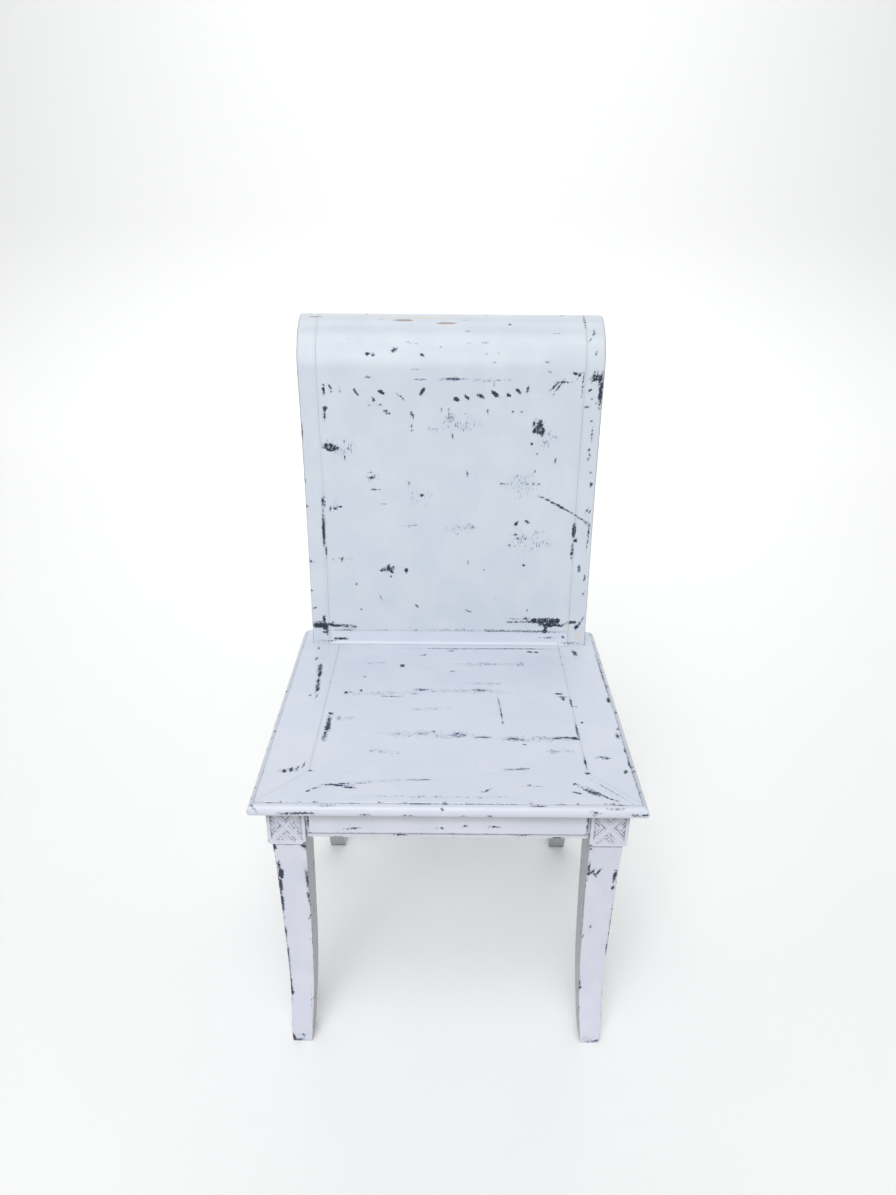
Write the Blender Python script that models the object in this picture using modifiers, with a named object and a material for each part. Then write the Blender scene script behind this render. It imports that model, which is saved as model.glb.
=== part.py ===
"""Peeling paint chair: a wooden dining chair with a rolled-over scroll back and sabre legs.

Units are metres and +Z is up. The chair faces -Y and stands on Z = 0. Every depth below is
measured back from the front edge of the seat, and the empty that carries all the pieces moves
that edge forward by half the chair's depth, so the origin lies under the middle of the chair.
"""

import math

import bmesh
import bpy
from mathutils import Vector

# Clearance between pieces that touch
GAP = 0.0003

# Seat
SEAT_HEIGHT = 0.466
SEAT_WIDTH = 0.492
SEAT_DEPTH = 0.477
SEAT_THICKNESS = 0.025
FRONT_RAIL_WIDTH = 0.0725
SIDE_RAIL_WIDTH = 0.0665
BACK_RAIL_WIDTH = 0.065
FRONT_BOARD_WIDTH = 0.083
MIDDLE_BOARD_WIDTH = 0.118
REBATE_WIDTH = 0.010
REBATE_THICKNESS = 0.010
NOSING_RADIUS = 0.0085
QUIRK_DEPTH = 0.002
NOSING_UNDERCUT = 0.006

# Aprons
FRONT_OVERHANG = 0.033
SIDE_OVERHANG = 0.0245
APRON_HEIGHT = 0.050
APRON_THICKNESS = 0.020
BEAD_RADIUS = 0.003
BEAD_QUIRK = 0.0012
TENON_LENGTH = 0.018
TENON_THICKNESS = 0.009
TENON_SHOULDER = 0.010

# Front legs and their carved heads
HEAD_WIDTH = 0.049
HEAD_DEPTH = 0.060
HEAD_PROUD = 0.003
HEAD_OUTSET = 0.009
HEAD_DROP = 0.009
HEAD_CORNER = 0.004
CARVING_BORDER = 0.0045
CARVING_DEPTH = 0.0018
CARVING_RIB = 0.20
CARVING_CELLS = 24
LEG_STEP_IN = 0.006
LEG_TOP_WIDTH = 0.0415
LEG_FOOT_WIDTH = 0.0255
LEG_TOP_DEPTH = 0.055
LEG_FOOT_DEPTH = 0.038
# Share of the leg's height, and how far its front face lies behind the apron's face there
LEG_BOW = ((0.0, 0.0165), (0.06, 0.0165), (0.13, 0.022), (0.22, 0.0300), (0.35, 0.0310),
           (0.58, 0.0235), (0.80, 0.0140), (0.93, 0.0060), (1.0, 0.0))

# Back posts, each one piece from its foot to the end of the roll
POST_WIDTH = 0.028
POST_INSET = 0.0225
BACK_FLARE = 0.0055
BACK_SETBACK = 0.048
BACK_LEAN = 0.038
POST_DEPTH = 0.042
POST_FOOT_DEPTH = 0.028
POST_FOOT_SWEEP = 0.0555
POST_TAPER_RISE = 0.300

# Rolled top of the back
CHAIR_HEIGHT = 0.975
ROLL_RADIUS = 0.072
ROLL_TURN = math.radians(165)
ROLL_THICKNESS = 0.024
ROLL_TAIL_THICKNESS = 0.016

# Back panel and the rails above and below it
PANEL_THICKNESS = 0.018
BOTTOM_RAIL_HEIGHT = 0.0224
BOTTOM_RAIL_COVE = 0.005
CREST_HEIGHT = 0.124
RAIL_TENON_LENGTH = 0.012
RAIL_TENON_THICKNESS = 0.008
RAIL_TENON_SHOULDER = 0.005
CREST_TENON_HEIGHT = 0.030

# Corner braces and screws
BRACE_REACH = 0.080
BRACE_THICKNESS = 0.022
BRACE_HEIGHT = 0.035
SCREW_RADIUS = 0.0019
SCREW_LENGTH = 0.024
SCREW_POINT = 0.004
SCREW_HEAD_RADIUS = 0.0038
SCREW_HEAD_HEIGHT = 0.0022
SCREW_SEATING = 0.010
SEAT_SCREW_REACH = 0.012
POCKET_RADIUS = 0.0046

# Rounding of the arrises, and how finely curves are cut
EASE = 0.0015
LEG_STEPS = 12
POST_LEG_STEPS = 8
PANEL_STEPS = 6
CREST_STEPS = 2
ROLL_STEPS = 14
NOSING_STEPS = 8
TURNED_STEPS = 12

# Colours
WHITE_PAINT = (0.72, 0.74, 0.80)
BACK_PAINT = (0.74, 0.77, 0.80)
BARE_WOOD = (0.36, 0.24, 0.14)
SCREW_STEEL = (0.42, 0.41, 0.39)

# Heights and lines that several pieces share
seat_under = SEAT_HEIGHT - SEAT_THICKNESS
board_under = seat_under + REBATE_THICKNESS
apron_top = seat_under - GAP
apron_bottom = seat_under - APRON_HEIGHT
head_bottom = apron_bottom - HEAD_DROP
roll_start = CHAIR_HEIGHT - ROLL_RADIUS
bottom_rail_top = SEAT_HEIGHT + BOTTOM_RAIL_HEIGHT
crest_joint = CHAIR_HEIGHT - CREST_HEIGHT
apron_face_x = SEAT_WIDTH / 2 - SIDE_OVERHANG
head_outer = apron_face_x + HEAD_OUTSET
head_inner = head_outer - HEAD_WIDTH
head_front = FRONT_OVERHANG - HEAD_PROUD
head_back = head_front + HEAD_DEPTH
panel_edge = SEAT_WIDTH / 2 - SIDE_RAIL_WIDTH
back_rail_front = SEAT_DEPTH - BACK_RAIL_WIDTH
tenon_low = apron_bottom + TENON_SHOULDER
tenon_high = apron_top - TENON_SHOULDER
post_outer_at_seat = SEAT_WIDTH / 2 - POST_INSET
post_inner_at_seat = post_outer_at_seat - POST_WIDTH
post_outer_at_roll = post_outer_at_seat + BACK_FLARE
back_line = SEAT_DEPTH - BACK_SETBACK
chair_depth = back_line + BACK_LEAN + ROLL_RADIUS * (1 - math.cos(ROLL_TURN))


def clear_scene():
    for old in list(bpy.data.objects):
        bpy.data.objects.remove(old, do_unlink=True)


def new_collection(name):
    group = bpy.data.collections.new(name)
    bpy.context.scene.collection.children.link(group)
    return group


clear_scene()
pieces = new_collection("peeling_paint_chair")
cutters = new_collection("cutters")
carrier = bpy.data.objects.new("chair", None)
carrier.location = (0, -chair_depth / 2, 0)
pieces.objects.link(carrier)


def coat(name, colour, roughness=0.6, metallic=0.0):
    """A piece's own material."""
    material = bpy.data.materials.new(name)
    material.use_nodes = True
    shader = material.node_tree.nodes["Principled BSDF"]
    shader.inputs["Base Color"].default_value = (*colour, 1)
    shader.inputs["Roughness"].default_value = roughness
    shader.inputs["Metallic"].default_value = metallic
    material.diffuse_color = (*colour, 1)
    return material


def put(name, mesh, colour=None, metallic=0.0):
    """Place a mesh in the chair: a piece if it has a colour, and otherwise a cutter."""
    made = bpy.data.objects.new(name, mesh)
    made.parent = carrier
    if colour is None:
        made.display_type = "WIRE"
        made.hide_render = True
        cutters.objects.link(made)
    else:
        made.data.materials.append(coat(name, colour, metallic=metallic))
        pieces.objects.link(made)
    return made


def face_outwards(bm):
    bm.normal_update()
    bmesh.ops.recalc_face_normals(bm, faces=bm.faces)


def to_mesh(name, bm):
    face_outwards(bm)
    mesh = bpy.data.meshes.new(name)
    bm.to_mesh(mesh)
    bm.free()
    return mesh


def box(name, low, high, colour=None):
    """A cube primitive stretched between two corners."""
    bm = bmesh.new()
    bmesh.ops.create_cube(bm, size=2)
    for vert in bm.verts:
        vert.co = [low[i] if vert.co[i] < 0 else high[i] for i in range(3)]
    return put(name, to_mesh(name, bm), colour)


def moulding(name, outline, place, colour=None):
    """A flat outline, drawn as (across, up), carried from one end to the other.

    place(across, up, end) gives each corner's position, where end is -1 or 1.
    """
    drawn = bpy.data.curves.new(name, "CURVE")
    drawn.dimensions = "2D"
    drawn.fill_mode = "BOTH"
    drawn.extrude = 1
    spline = drawn.splines.new("POLY")
    spline.points.add(len(outline) - 1)
    for point, (across, up) in zip(spline.points, outline):
        point.co = (across, up, 0, 1)
    spline.use_cyclic_u = True
    source = bpy.data.objects.new(name + "_outline", drawn)
    bpy.context.scene.collection.objects.link(source)
    depsgraph = bpy.context.evaluated_depsgraph_get()
    flat = bpy.data.meshes.new_from_object(source.evaluated_get(depsgraph))
    bpy.data.objects.remove(source)
    bm = bmesh.new()
    bm.from_mesh(flat)
    bmesh.ops.remove_doubles(bm, verts=bm.verts, dist=0.00001)
    for vert in bm.verts:
        vert.co = place(vert.co.x, vert.co.y, 1 if vert.co.z > 0 else -1)
    return put(name, to_mesh(name, bm), colour)


def bar(name, stations, place, eased=(), ease_ends=(), colour=None):
    """A box cut across its length at each station.

    place(side, face, station) gives each corner's position, where side and face are -1 or 1.
    eased lists the (side, face) arrises that are rounded, and ease_ends the ends, 0 or 1.
    """
    bm = bmesh.new()
    bmesh.ops.create_cube(bm, size=2)
    lengthwise = [edge for edge in bm.edges if edge.verts[0].co.z * edge.verts[1].co.z < 0]
    last = len(stations) - 1
    if last > 1:
        bmesh.ops.subdivide_edges(bm, edges=lengthwise, cuts=last - 1, use_grid_fill=True)
    places = {vert: (round(vert.co.x), round(vert.co.y), round((vert.co.z + 1) / 2 * last)) for vert in bm.verts}
    rounded = []
    for edge in bm.edges:
        start, end = (places[vert] for vert in edge.verts)
        along = start[:2] == end[:2]
        at_end = start[2] == end[2] and start[2] / last in ease_ends
        if (along and start[:2] in eased) or at_end:
            rounded.append(edge)
    for vert, (side, face, station) in places.items():
        vert.co = place(side, face, stations[station])
    face_outwards(bm)
    if rounded:
        bmesh.ops.bevel(bm, geom=rounded, offset=EASE, segments=2, profile=0.5, affect="EDGES")
    return put(name, to_mesh(name, bm), colour)


def combine(target, helper, operation):
    change = target.modifiers.new(helper.name, "BOOLEAN")
    change.operation = operation
    change.solver = "EXACT"
    change.object = helper


def turned(name, profile, colour=None, metallic=0.0):
    """A round piece: its profile, as (radius, height) from top to bottom, turned about Z."""
    mesh = bpy.data.meshes.new(name)
    steps = [(i, i + 1) for i in range(len(profile) - 1)]
    mesh.from_pydata([(radius, 0, height) for radius, height in profile], steps, [])
    made = put(name, mesh, colour, metallic)
    screw = made.modifiers.new("turn", "SCREW")
    screw.axis = "Z"
    screw.steps = TURNED_STEPS
    screw.render_steps = TURNED_STEPS
    screw.use_merge_vertices = True
    screw.merge_threshold = 0.00001
    return made


def smooth_between(points, share):
    """A smooth curve through (share, value) points: a cubic with the slope of each point's neighbours."""
    last = len(points) - 1
    at = max(i for i in range(last) if points[i][0] <= share or i == 0)

    def slope(i):
        low, high = max(i - 1, 0), min(i + 1, last)
        return (points[high][1] - points[low][1]) / (points[high][0] - points[low][0])

    (x0, y0), (x1, y1) = points[at], points[at + 1]
    span = x1 - x0
    t = (share - x0) / span
    rise = y0 * (1 + 2 * t) * (1 - t) ** 2 + y1 * t * t * (3 - 2 * t)
    return rise + span * (slope(at) * t * (1 - t) ** 2 - slope(at + 1) * t * t * (1 - t))


def spread(low, high, steps):
    return [low + (high - low) * i / steps for i in range(steps + 1)]


# Lines of the back, seen from the side


def back_face(height):
    """Depth of the front face of the post: a leg swept back to its foot, then a lean that ends upright."""
    lean_height = roll_start - SEAT_HEIGHT
    if height >= SEAT_HEIGHT:
        return back_line + BACK_LEAN * math.sin(math.pi / 2 * (height - SEAT_HEIGHT) / lean_height)
    drop = SEAT_HEIGHT - height
    slope = BACK_LEAN * math.pi / 2 / lean_height
    bow = (POST_FOOT_SWEEP + slope * SEAT_HEIGHT) / SEAT_HEIGHT ** 2
    return back_line - slope * drop + bow * drop ** 2


def post_depth(height):
    """Thickness of the post from front to back: fullest at the seat."""
    if height <= SEAT_HEIGHT:
        return POST_FOOT_DEPTH + (POST_DEPTH - POST_FOOT_DEPTH) * height / SEAT_HEIGHT
    share = min((height - SEAT_HEIGHT) / POST_TAPER_RISE, 1)
    return POST_DEPTH + (ROLL_THICKNESS - POST_DEPTH) * share * share * (3 - 2 * share)


def post_outer(height):
    """Half the back's width: upright below the seat, and a little wider towards the roll."""
    share = min(max((height - SEAT_HEIGHT) / (roll_start - SEAT_HEIGHT), 0), 1)
    return post_outer_at_seat + BACK_FLARE * share


def upright(height, thickness=None):
    """One station of the back: front point, rear point and half width."""
    front = back_face(height)
    depth = post_depth(height) if thickness is None else thickness
    return (front, height), (front + depth, height), post_outer(height)


def roll_stations():
    """Stations over the roll: the outer face is a circle, and the tail is thinner with a round end."""
    centre = (back_line + BACK_LEAN + ROLL_RADIUS, roll_start)
    half_tail = ROLL_TAIL_THICKNESS / 2

    def station(turn, outer, inner):
        direction = (-math.cos(turn), math.sin(turn))
        points = [tuple(centre[i] + radius * direction[i] for i in range(2)) for radius in (outer, inner)]
        return points[0], points[1], post_outer_at_roll

    stations = []
    for step in range(1, ROLL_STEPS + 1):
        share = step / ROLL_STEPS
        thickness = ROLL_THICKNESS + (ROLL_TAIL_THICKNESS - ROLL_THICKNESS) * share
        stations.append(station(ROLL_TURN * share, ROLL_RADIUS, ROLL_RADIUS - thickness))
    middle = ROLL_RADIUS - half_tail
    for rounding in (35, 62):
        angle = math.radians(rounding)
        turn = ROLL_TURN + half_tail * math.sin(angle) / middle
        stations.append(station(turn, middle + half_tail * math.cos(angle), middle - half_tail * math.cos(angle)))
    return stations


def panel_heights():
    return spread(bottom_rail_top, crest_joint, PANEL_STEPS)


def crest_heights():
    return spread(crest_joint, roll_start, CREST_STEPS)


# Seat


def nosing_outline(edge_scale, inner_width, ledge):
    """A seat rail's section as (distance in from the edge, height): a bullnose under a small step."""
    top = SEAT_HEIGHT - QUIRK_DEPTH
    middle = top - NOSING_RADIUS
    reach = NOSING_RADIUS * edge_scale
    recess = (NOSING_RADIUS + NOSING_UNDERCUT) * edge_scale
    outline = [(recess, seat_under), (recess, middle - NOSING_RADIUS)]
    for angle in spread(-math.pi / 2, math.pi / 2, NOSING_STEPS):
        outline.append((reach * (1 - math.cos(angle)), middle + NOSING_RADIUS * math.sin(angle)))
    outline.append((reach, SEAT_HEIGHT))
    outline.append((inner_width, SEAT_HEIGHT))
    outline.append((inner_width, board_under))
    outline.append((inner_width + ledge, board_under))
    outline.append((inner_width + ledge, seat_under))
    return outline


def seat_front_rail():
    slant = SIDE_RAIL_WIDTH / FRONT_RAIL_WIDTH

    def place(inward, height, end):
        return Vector((end * (SEAT_WIDTH / 2 - inward * slant - GAP / 2), inward, height))

    outline = nosing_outline(1, FRONT_RAIL_WIDTH, REBATE_WIDTH)
    return moulding("seat_front_rail", outline, place, WHITE_PAINT)


def seat_side_rail(name, side):
    slant = FRONT_RAIL_WIDTH / SIDE_RAIL_WIDTH

    def place(inward, height, end):
        depth = SEAT_DEPTH if end > 0 else inward * slant + GAP / 2
        return Vector((side * (SEAT_WIDTH / 2 - inward), depth, height))

    outline = nosing_outline(SIDE_RAIL_WIDTH / FRONT_RAIL_WIDTH, SIDE_RAIL_WIDTH, REBATE_WIDTH)
    rail = moulding(name, outline, place, WHITE_PAINT)
    ledge_cut = box(name + "_ledge_end",
                    (side * (panel_edge - REBATE_WIDTH * 2), back_rail_front - REBATE_WIDTH - GAP, seat_under * 0.9),
                    (side * panel_edge, SEAT_DEPTH * 1.1, SEAT_HEIGHT * 1.1))
    combine(rail, ledge_cut, "DIFFERENCE")
    combine(rail, post_notch(name + "_post_notch", side), "DIFFERENCE")
    return rail


def post_notch(name, side):
    """The opening that the seat leaves round a post, as wide as the post and open at the back."""
    heights = [seat_under - 2 * GAP, seat_under, SEAT_HEIGHT, SEAT_HEIGHT + 2 * GAP]

    def place(across, face, height):
        half = POST_WIDTH / 2 + GAP
        x = side * (post_outer_at_seat - POST_WIDTH / 2) + across * half
        depth = SEAT_DEPTH + POST_DEPTH if face > 0 else back_face(height) - GAP
        return Vector((x, depth, height))

    return bar(name, heights, place)


def seat_back_rail():
    half = panel_edge - GAP

    def place(inward, height, end):
        return Vector((end * half, SEAT_DEPTH - inward, height))

    outline = [(0, seat_under), (0, SEAT_HEIGHT), (BACK_RAIL_WIDTH, SEAT_HEIGHT),
               (BACK_RAIL_WIDTH, board_under), (BACK_RAIL_WIDTH + REBATE_WIDTH, board_under),
               (BACK_RAIL_WIDTH + REBATE_WIDTH, seat_under)]
    return moulding("seat_back_rail", outline, place, WHITE_PAINT)


def seat_boards():
    joints = [FRONT_RAIL_WIDTH, FRONT_RAIL_WIDTH + FRONT_BOARD_WIDTH,
              FRONT_RAIL_WIDTH + FRONT_BOARD_WIDTH + MIDDLE_BOARD_WIDTH, back_rail_front]
    half = panel_edge - GAP
    for name, start, end in zip(("front", "middle", "rear"), joints, joints[1:]):
        box(f"seat_{name}_board", (-half, start + GAP / 2, board_under + GAP), (half, end - GAP / 2, SEAT_HEIGHT),
            WHITE_PAINT)


# Aprons


def apron_outline():
    """An apron's section as (distance in from its face, height), with a round bead along its foot."""
    bead_top = apron_bottom + 2 * BEAD_RADIUS
    outline = [(APRON_THICKNESS, apron_bottom)]
    for angle in spread(-math.pi / 2, math.pi / 2, 6):
        outline.append((BEAD_RADIUS * (1 - math.cos(angle)), apron_bottom + BEAD_RADIUS * (1 + math.sin(angle))))
    outline += [(BEAD_RADIUS, bead_top + BEAD_QUIRK), (0, bead_top + BEAD_QUIRK), (0, apron_top),
                (APRON_THICKNESS, apron_top)]
    return outline


def front_apron():
    half = head_inner - GAP

    def place(inward, height, end):
        return Vector((end * half, FRONT_OVERHANG + inward, height))

    apron = moulding("front_apron", apron_outline(), place, WHITE_PAINT)
    middle = FRONT_OVERHANG + APRON_THICKNESS / 2
    reach = half + TENON_LENGTH
    tongue = box("front_apron_tenons", (-reach, middle - TENON_THICKNESS / 2, tenon_low),
                 (reach, middle + TENON_THICKNESS / 2, tenon_high))
    combine(apron, tongue, "UNION")
    return apron


def side_apron(name, side):
    middle = apron_face_x - APRON_THICKNESS / 2

    def place(inward, height, end):
        depth = head_back + GAP if end < 0 else back_face_chord(height) - GAP
        return Vector((side * (apron_face_x - inward), depth, height))

    apron = moulding(name, apron_outline(), place, WHITE_PAINT)
    tongue = box(name + "_tenons", (side * middle - TENON_THICKNESS / 2, head_back - TENON_LENGTH, tenon_low),
                 (side * middle + TENON_THICKNESS / 2, back_tenon_end(), tenon_high))
    combine(apron, tongue, "UNION")
    return apron


def back_face_chord(height):
    """Depth of the post's flat stretch behind the side apron."""
    share = (height - apron_bottom) / (seat_under - apron_bottom)
    return back_face(apron_bottom) * (1 - share) + back_face(seat_under) * share


def back_tenon_end():
    """How far back the side apron's tenon goes into the post."""
    return back_face_chord(tenon_low) + TENON_LENGTH


def back_apron_front():
    """The back apron sits in the rear half of the posts, clear of the side aprons' tenons."""
    return back_tenon_end() + 2 * GAP - (APRON_THICKNESS - TENON_THICKNESS) / 2 + 0.004


def back_apron():
    half = post_inner_at_seat - GAP
    front = back_apron_front()
    apron = box("back_apron", (-half, front, apron_bottom), (half, front + APRON_THICKNESS, apron_top), WHITE_PAINT)
    middle = front + APRON_THICKNESS / 2
    reach = half + TENON_LENGTH
    tongue = box("back_apron_tenons", (-reach, middle - TENON_THICKNESS / 2, tenon_low),
                 (reach, middle + TENON_THICKNESS / 2, tenon_high))
    combine(apron, tongue, "UNION")
    return apron


def mortise(name, low, high):
    """The socket for a tenon, a gap wider all round."""
    ordered = [sorted(pair) for pair in zip(low, high)]
    return box(name, [pair[0] - GAP for pair in ordered], [pair[1] + GAP for pair in ordered])


# Front legs


def carving(across, up):
    """Height of the carved front above its ground, for across and up from -1 to 1.

    A cross of two ribs joins the corners. Each of the four fields between them holds a fan of
    three petals that opens from the cross towards the border.
    """
    from_rib = min(abs(across - up), abs(across + up))
    rib = max(1 - (from_rib / CARVING_RIB) ** 4, 0)
    out = max(abs(across), abs(up))
    sideways = min(abs(across), abs(up)) / max(out, CARVING_RIB)
    if abs(across) > abs(up):
        sideways = math.copysign(sideways, up)
    else:
        sideways = math.copysign(sideways, across)
    length = math.sin(math.pi * min(max((out - 0.30) / 0.65, 0), 1))
    petals = max(1 - ((sideways - middle) / 0.24) ** 2 for middle in (-0.5, 0, 0.5))
    return max(rib, 0.8 * math.sqrt(max(petals, 0)) * length)


def leg_head(name, side):
    """The square head of a front leg, with its front face cut into a grid and carved."""
    bm = bmesh.new()
    bmesh.ops.create_cube(bm, size=2)
    front = [edge for edge in bm.edges if all(vert.co.y < 0 for vert in edge.verts)]
    bmesh.ops.subdivide_edges(bm, edges=front, cuts=CARVING_CELLS - 1, use_grid_fill=True)
    half_width = HEAD_WIDTH / 2
    half_height = (apron_top - head_bottom) / 2
    middle = (apron_top + head_bottom) / 2
    for vert in bm.verts:
        across, face, up = vert.co
        depth = head_back if face > 0 else head_front
        field_across = across * half_width / (half_width - CARVING_BORDER)
        field_up = up * half_height / (half_height - CARVING_BORDER)
        if face < 0 and max(abs(field_across), abs(field_up)) < 1:
            depth += CARVING_DEPTH * (1 - carving(field_across, field_up))
        x = side * (head_inner + half_width + across * half_width)
        vert.co = (x, depth, middle + up * half_height)
    head = put(name, to_mesh(name, bm))
    corner_round(name, head, side)
    return head


def corner_round(name, head, side):
    """Round off the head's lower outer corner."""
    size = HEAD_CORNER
    centre = (head_outer - size, head_bottom + size)
    outline = [(head_outer + size, head_bottom - size), (head_outer + size, centre[1])]
    for angle in spread(0, math.pi / 2, 5):
        outline.append((centre[0] + size * math.cos(angle), centre[1] - size * math.sin(angle)))
    outline.append((centre[0], head_bottom - size))

    def place(across, height, end):
        return Vector((side * across, head_back + size if end > 0 else head_front - size, height))

    combine(head, moulding(name + "_corner", outline, place), "DIFFERENCE")


def front_leg(name, side):
    """A sabre leg under a carved head: the outer side is upright, and the inner side tapers in."""
    outer = head_outer - LEG_STEP_IN
    top = head_bottom + LEG_STEP_IN

    def place(across, face, share):
        height = share * top
        rise = min(height / head_bottom, 1)
        width = LEG_FOOT_WIDTH + (LEG_TOP_WIDTH - LEG_FOOT_WIDTH) * rise ** 0.7
        depth = LEG_FOOT_DEPTH + (LEG_TOP_DEPTH - LEG_FOOT_DEPTH) * rise ** 0.6
        front = FRONT_OVERHANG + smooth_between(LEG_BOW, rise)
        x = outer if across > 0 else outer - width
        return Vector((side * x, front + (depth if face > 0 else 0), height))

    corners = ((1, 1), (1, -1), (-1, 1), (-1, -1))
    leg = bar(name, spread(0, 1, LEG_STEPS), place, corners, (0,), WHITE_PAINT)
    combine(leg, leg_head(name + "_head", side), "UNION")
    apron_middle = FRONT_OVERHANG + APRON_THICKNESS / 2
    combine(leg, mortise(name + "_front_mortise",
                         (side * (head_inner - TENON_LENGTH), apron_middle - TENON_THICKNESS / 2, tenon_low),
                         (side * (head_inner - GAP + TENON_LENGTH), apron_middle + TENON_THICKNESS / 2, tenon_high)),
            "DIFFERENCE")
    side_middle = side * (apron_face_x - APRON_THICKNESS / 2)
    combine(leg, mortise(name + "_side_mortise",
                         (side_middle - TENON_THICKNESS / 2, head_back - TENON_LENGTH, tenon_low),
                         (side_middle + TENON_THICKNESS / 2, head_back + TENON_LENGTH, tenon_high)), "DIFFERENCE")
    return leg


# Back


def back_post(name, side):
    heights = spread(0, apron_bottom, POST_LEG_STEPS) + [seat_under, SEAT_HEIGHT]
    heights += panel_heights() + crest_heights()[1:]
    stations = [upright(height) for height in heights] + roll_stations()

    def place(across, face, station):
        front, rear, outer = station
        depth, height = front if face < 0 else rear
        return Vector((side * (outer if across > 0 else outer - POST_WIDTH), depth, height))

    post = bar(name, stations, place, ((1, -1), (1, 1)), (0,), BACK_PAINT)
    side_middle = side * (apron_face_x - APRON_THICKNESS / 2)
    combine(post, mortise(name + "_side_mortise",
                          (side_middle - TENON_THICKNESS / 2, back_face(apron_bottom) - TENON_LENGTH, tenon_low),
                          (side_middle + TENON_THICKNESS / 2, back_tenon_end(), tenon_high)), "DIFFERENCE")
    apron_middle = back_apron_front() + APRON_THICKNESS / 2
    combine(post, mortise(name + "_back_mortise",
                          (side * (post_inner_at_seat - TENON_LENGTH), apron_middle - TENON_THICKNESS / 2, tenon_low),
                          (side * (post_inner_at_seat - GAP + TENON_LENGTH), apron_middle + TENON_THICKNESS / 2,
                           tenon_high)), "DIFFERENCE")
    for label, low, high in (("rail", *bottom_rail_tenon()), ("crest", *crest_tenon())):
        reach = (side * (low[0] - RAIL_TENON_LENGTH), low[1], low[2])
        combine(post, mortise(f"{name}_{label}_mortise", reach, (side * high[0], high[1], high[2])), "DIFFERENCE")
    return post


def tenon_block(height, half_height):
    """Inner and outer corners of a rail's tenon at one end, on the +X side."""
    inner = post_outer(height) - POST_WIDTH
    middle = back_face(height) + PANEL_THICKNESS / 2
    low = (inner, middle - RAIL_TENON_THICKNESS / 2, height - half_height)
    high = (inner + RAIL_TENON_LENGTH, middle + RAIL_TENON_THICKNESS / 2, height + half_height)
    return low, high


def bottom_rail_tenon():
    return tenon_block(SEAT_HEIGHT + BOTTOM_RAIL_HEIGHT / 2, BOTTOM_RAIL_HEIGHT / 2 - RAIL_TENON_SHOULDER)


def crest_tenon():
    return tenon_block((crest_joint + roll_start) / 2, CREST_TENON_HEIGHT / 2)


def between_posts(name, stations):
    """A piece whose ends meet both posts and whose front is flush with them."""

    def place(across, face, station):
        front, rear, outer = station
        depth, height = front if face < 0 else rear
        return Vector((across * (outer - POST_WIDTH - GAP), depth, height))

    return bar(name, stations, place, colour=BACK_PAINT)


def add_tenons(rail, block):
    (inner, near, low), (reach, far, high) = block
    combine(rail, box(rail.name + "_tenons", (-reach, near, low), (reach, far, high)), "UNION")


def bottom_rail():
    """The low rail under the panel, whose face sweeps forward in a small cove onto the seat."""
    stations = []
    coved = [height for height in spread(0, BOTTOM_RAIL_COVE, 4)]
    for rise in coved + [BOTTOM_RAIL_HEIGHT - GAP / 2]:
        height = SEAT_HEIGHT + max(rise, GAP)
        front, rear, outer = upright(height, PANEL_THICKNESS)
        short = max(1 - rise / BOTTOM_RAIL_COVE, 0)
        sweep = BOTTOM_RAIL_COVE * (1 - math.sqrt(1 - short * short)) if rise < BOTTOM_RAIL_COVE else 0
        stations.append(((front[0] - sweep, front[1]), rear, outer))
    rail = between_posts("back_bottom_rail", stations)
    add_tenons(rail, bottom_rail_tenon())
    return rail


def back_panel():
    heights = panel_heights()
    heights[0] += GAP / 2
    heights[-1] -= GAP / 2
    return between_posts("back_panel", [upright(height, PANEL_THICKNESS) for height in heights])


def back_crest():
    heights = crest_heights()
    heights[0] += GAP / 2
    crest = between_posts("back_crest", [upright(height) for height in heights] + roll_stations())
    add_tenons(crest, crest_tenon())
    return crest


# Corner braces and screws


def screw_profile(clearance=0.0, pocket=0.0):
    """A countersunk wood screw as (radius, height), driven towards +Z, with its head under Z = 0."""
    shank = SCREW_RADIUS + clearance
    head = POCKET_RADIUS if pocket else SCREW_HEAD_RADIUS
    tip = SCREW_LENGTH + clearance
    return [(0, tip), (shank, tip - SCREW_POINT), (shank, clearance), (head, clearance),
            (head, -SCREW_HEAD_HEIGHT - pocket), (0, -SCREW_HEAD_HEIGHT - pocket)]


def add_screw(name, place, direction, hosts, pocket):
    """A screw with its head at place, and its hole in each piece that it goes through."""
    turn = Vector(direction).to_track_quat("Z", "Y").to_euler()
    screw = turned(name, screw_profile(), SCREW_STEEL, metallic=1.0)
    hole = turned(name + "_hole", screw_profile(GAP, pocket))
    for made in (screw, hole):
        made.location = place
        made.rotation_euler = turn
    for host in hosts:
        combine(host, hole, "DIFFERENCE")


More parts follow.
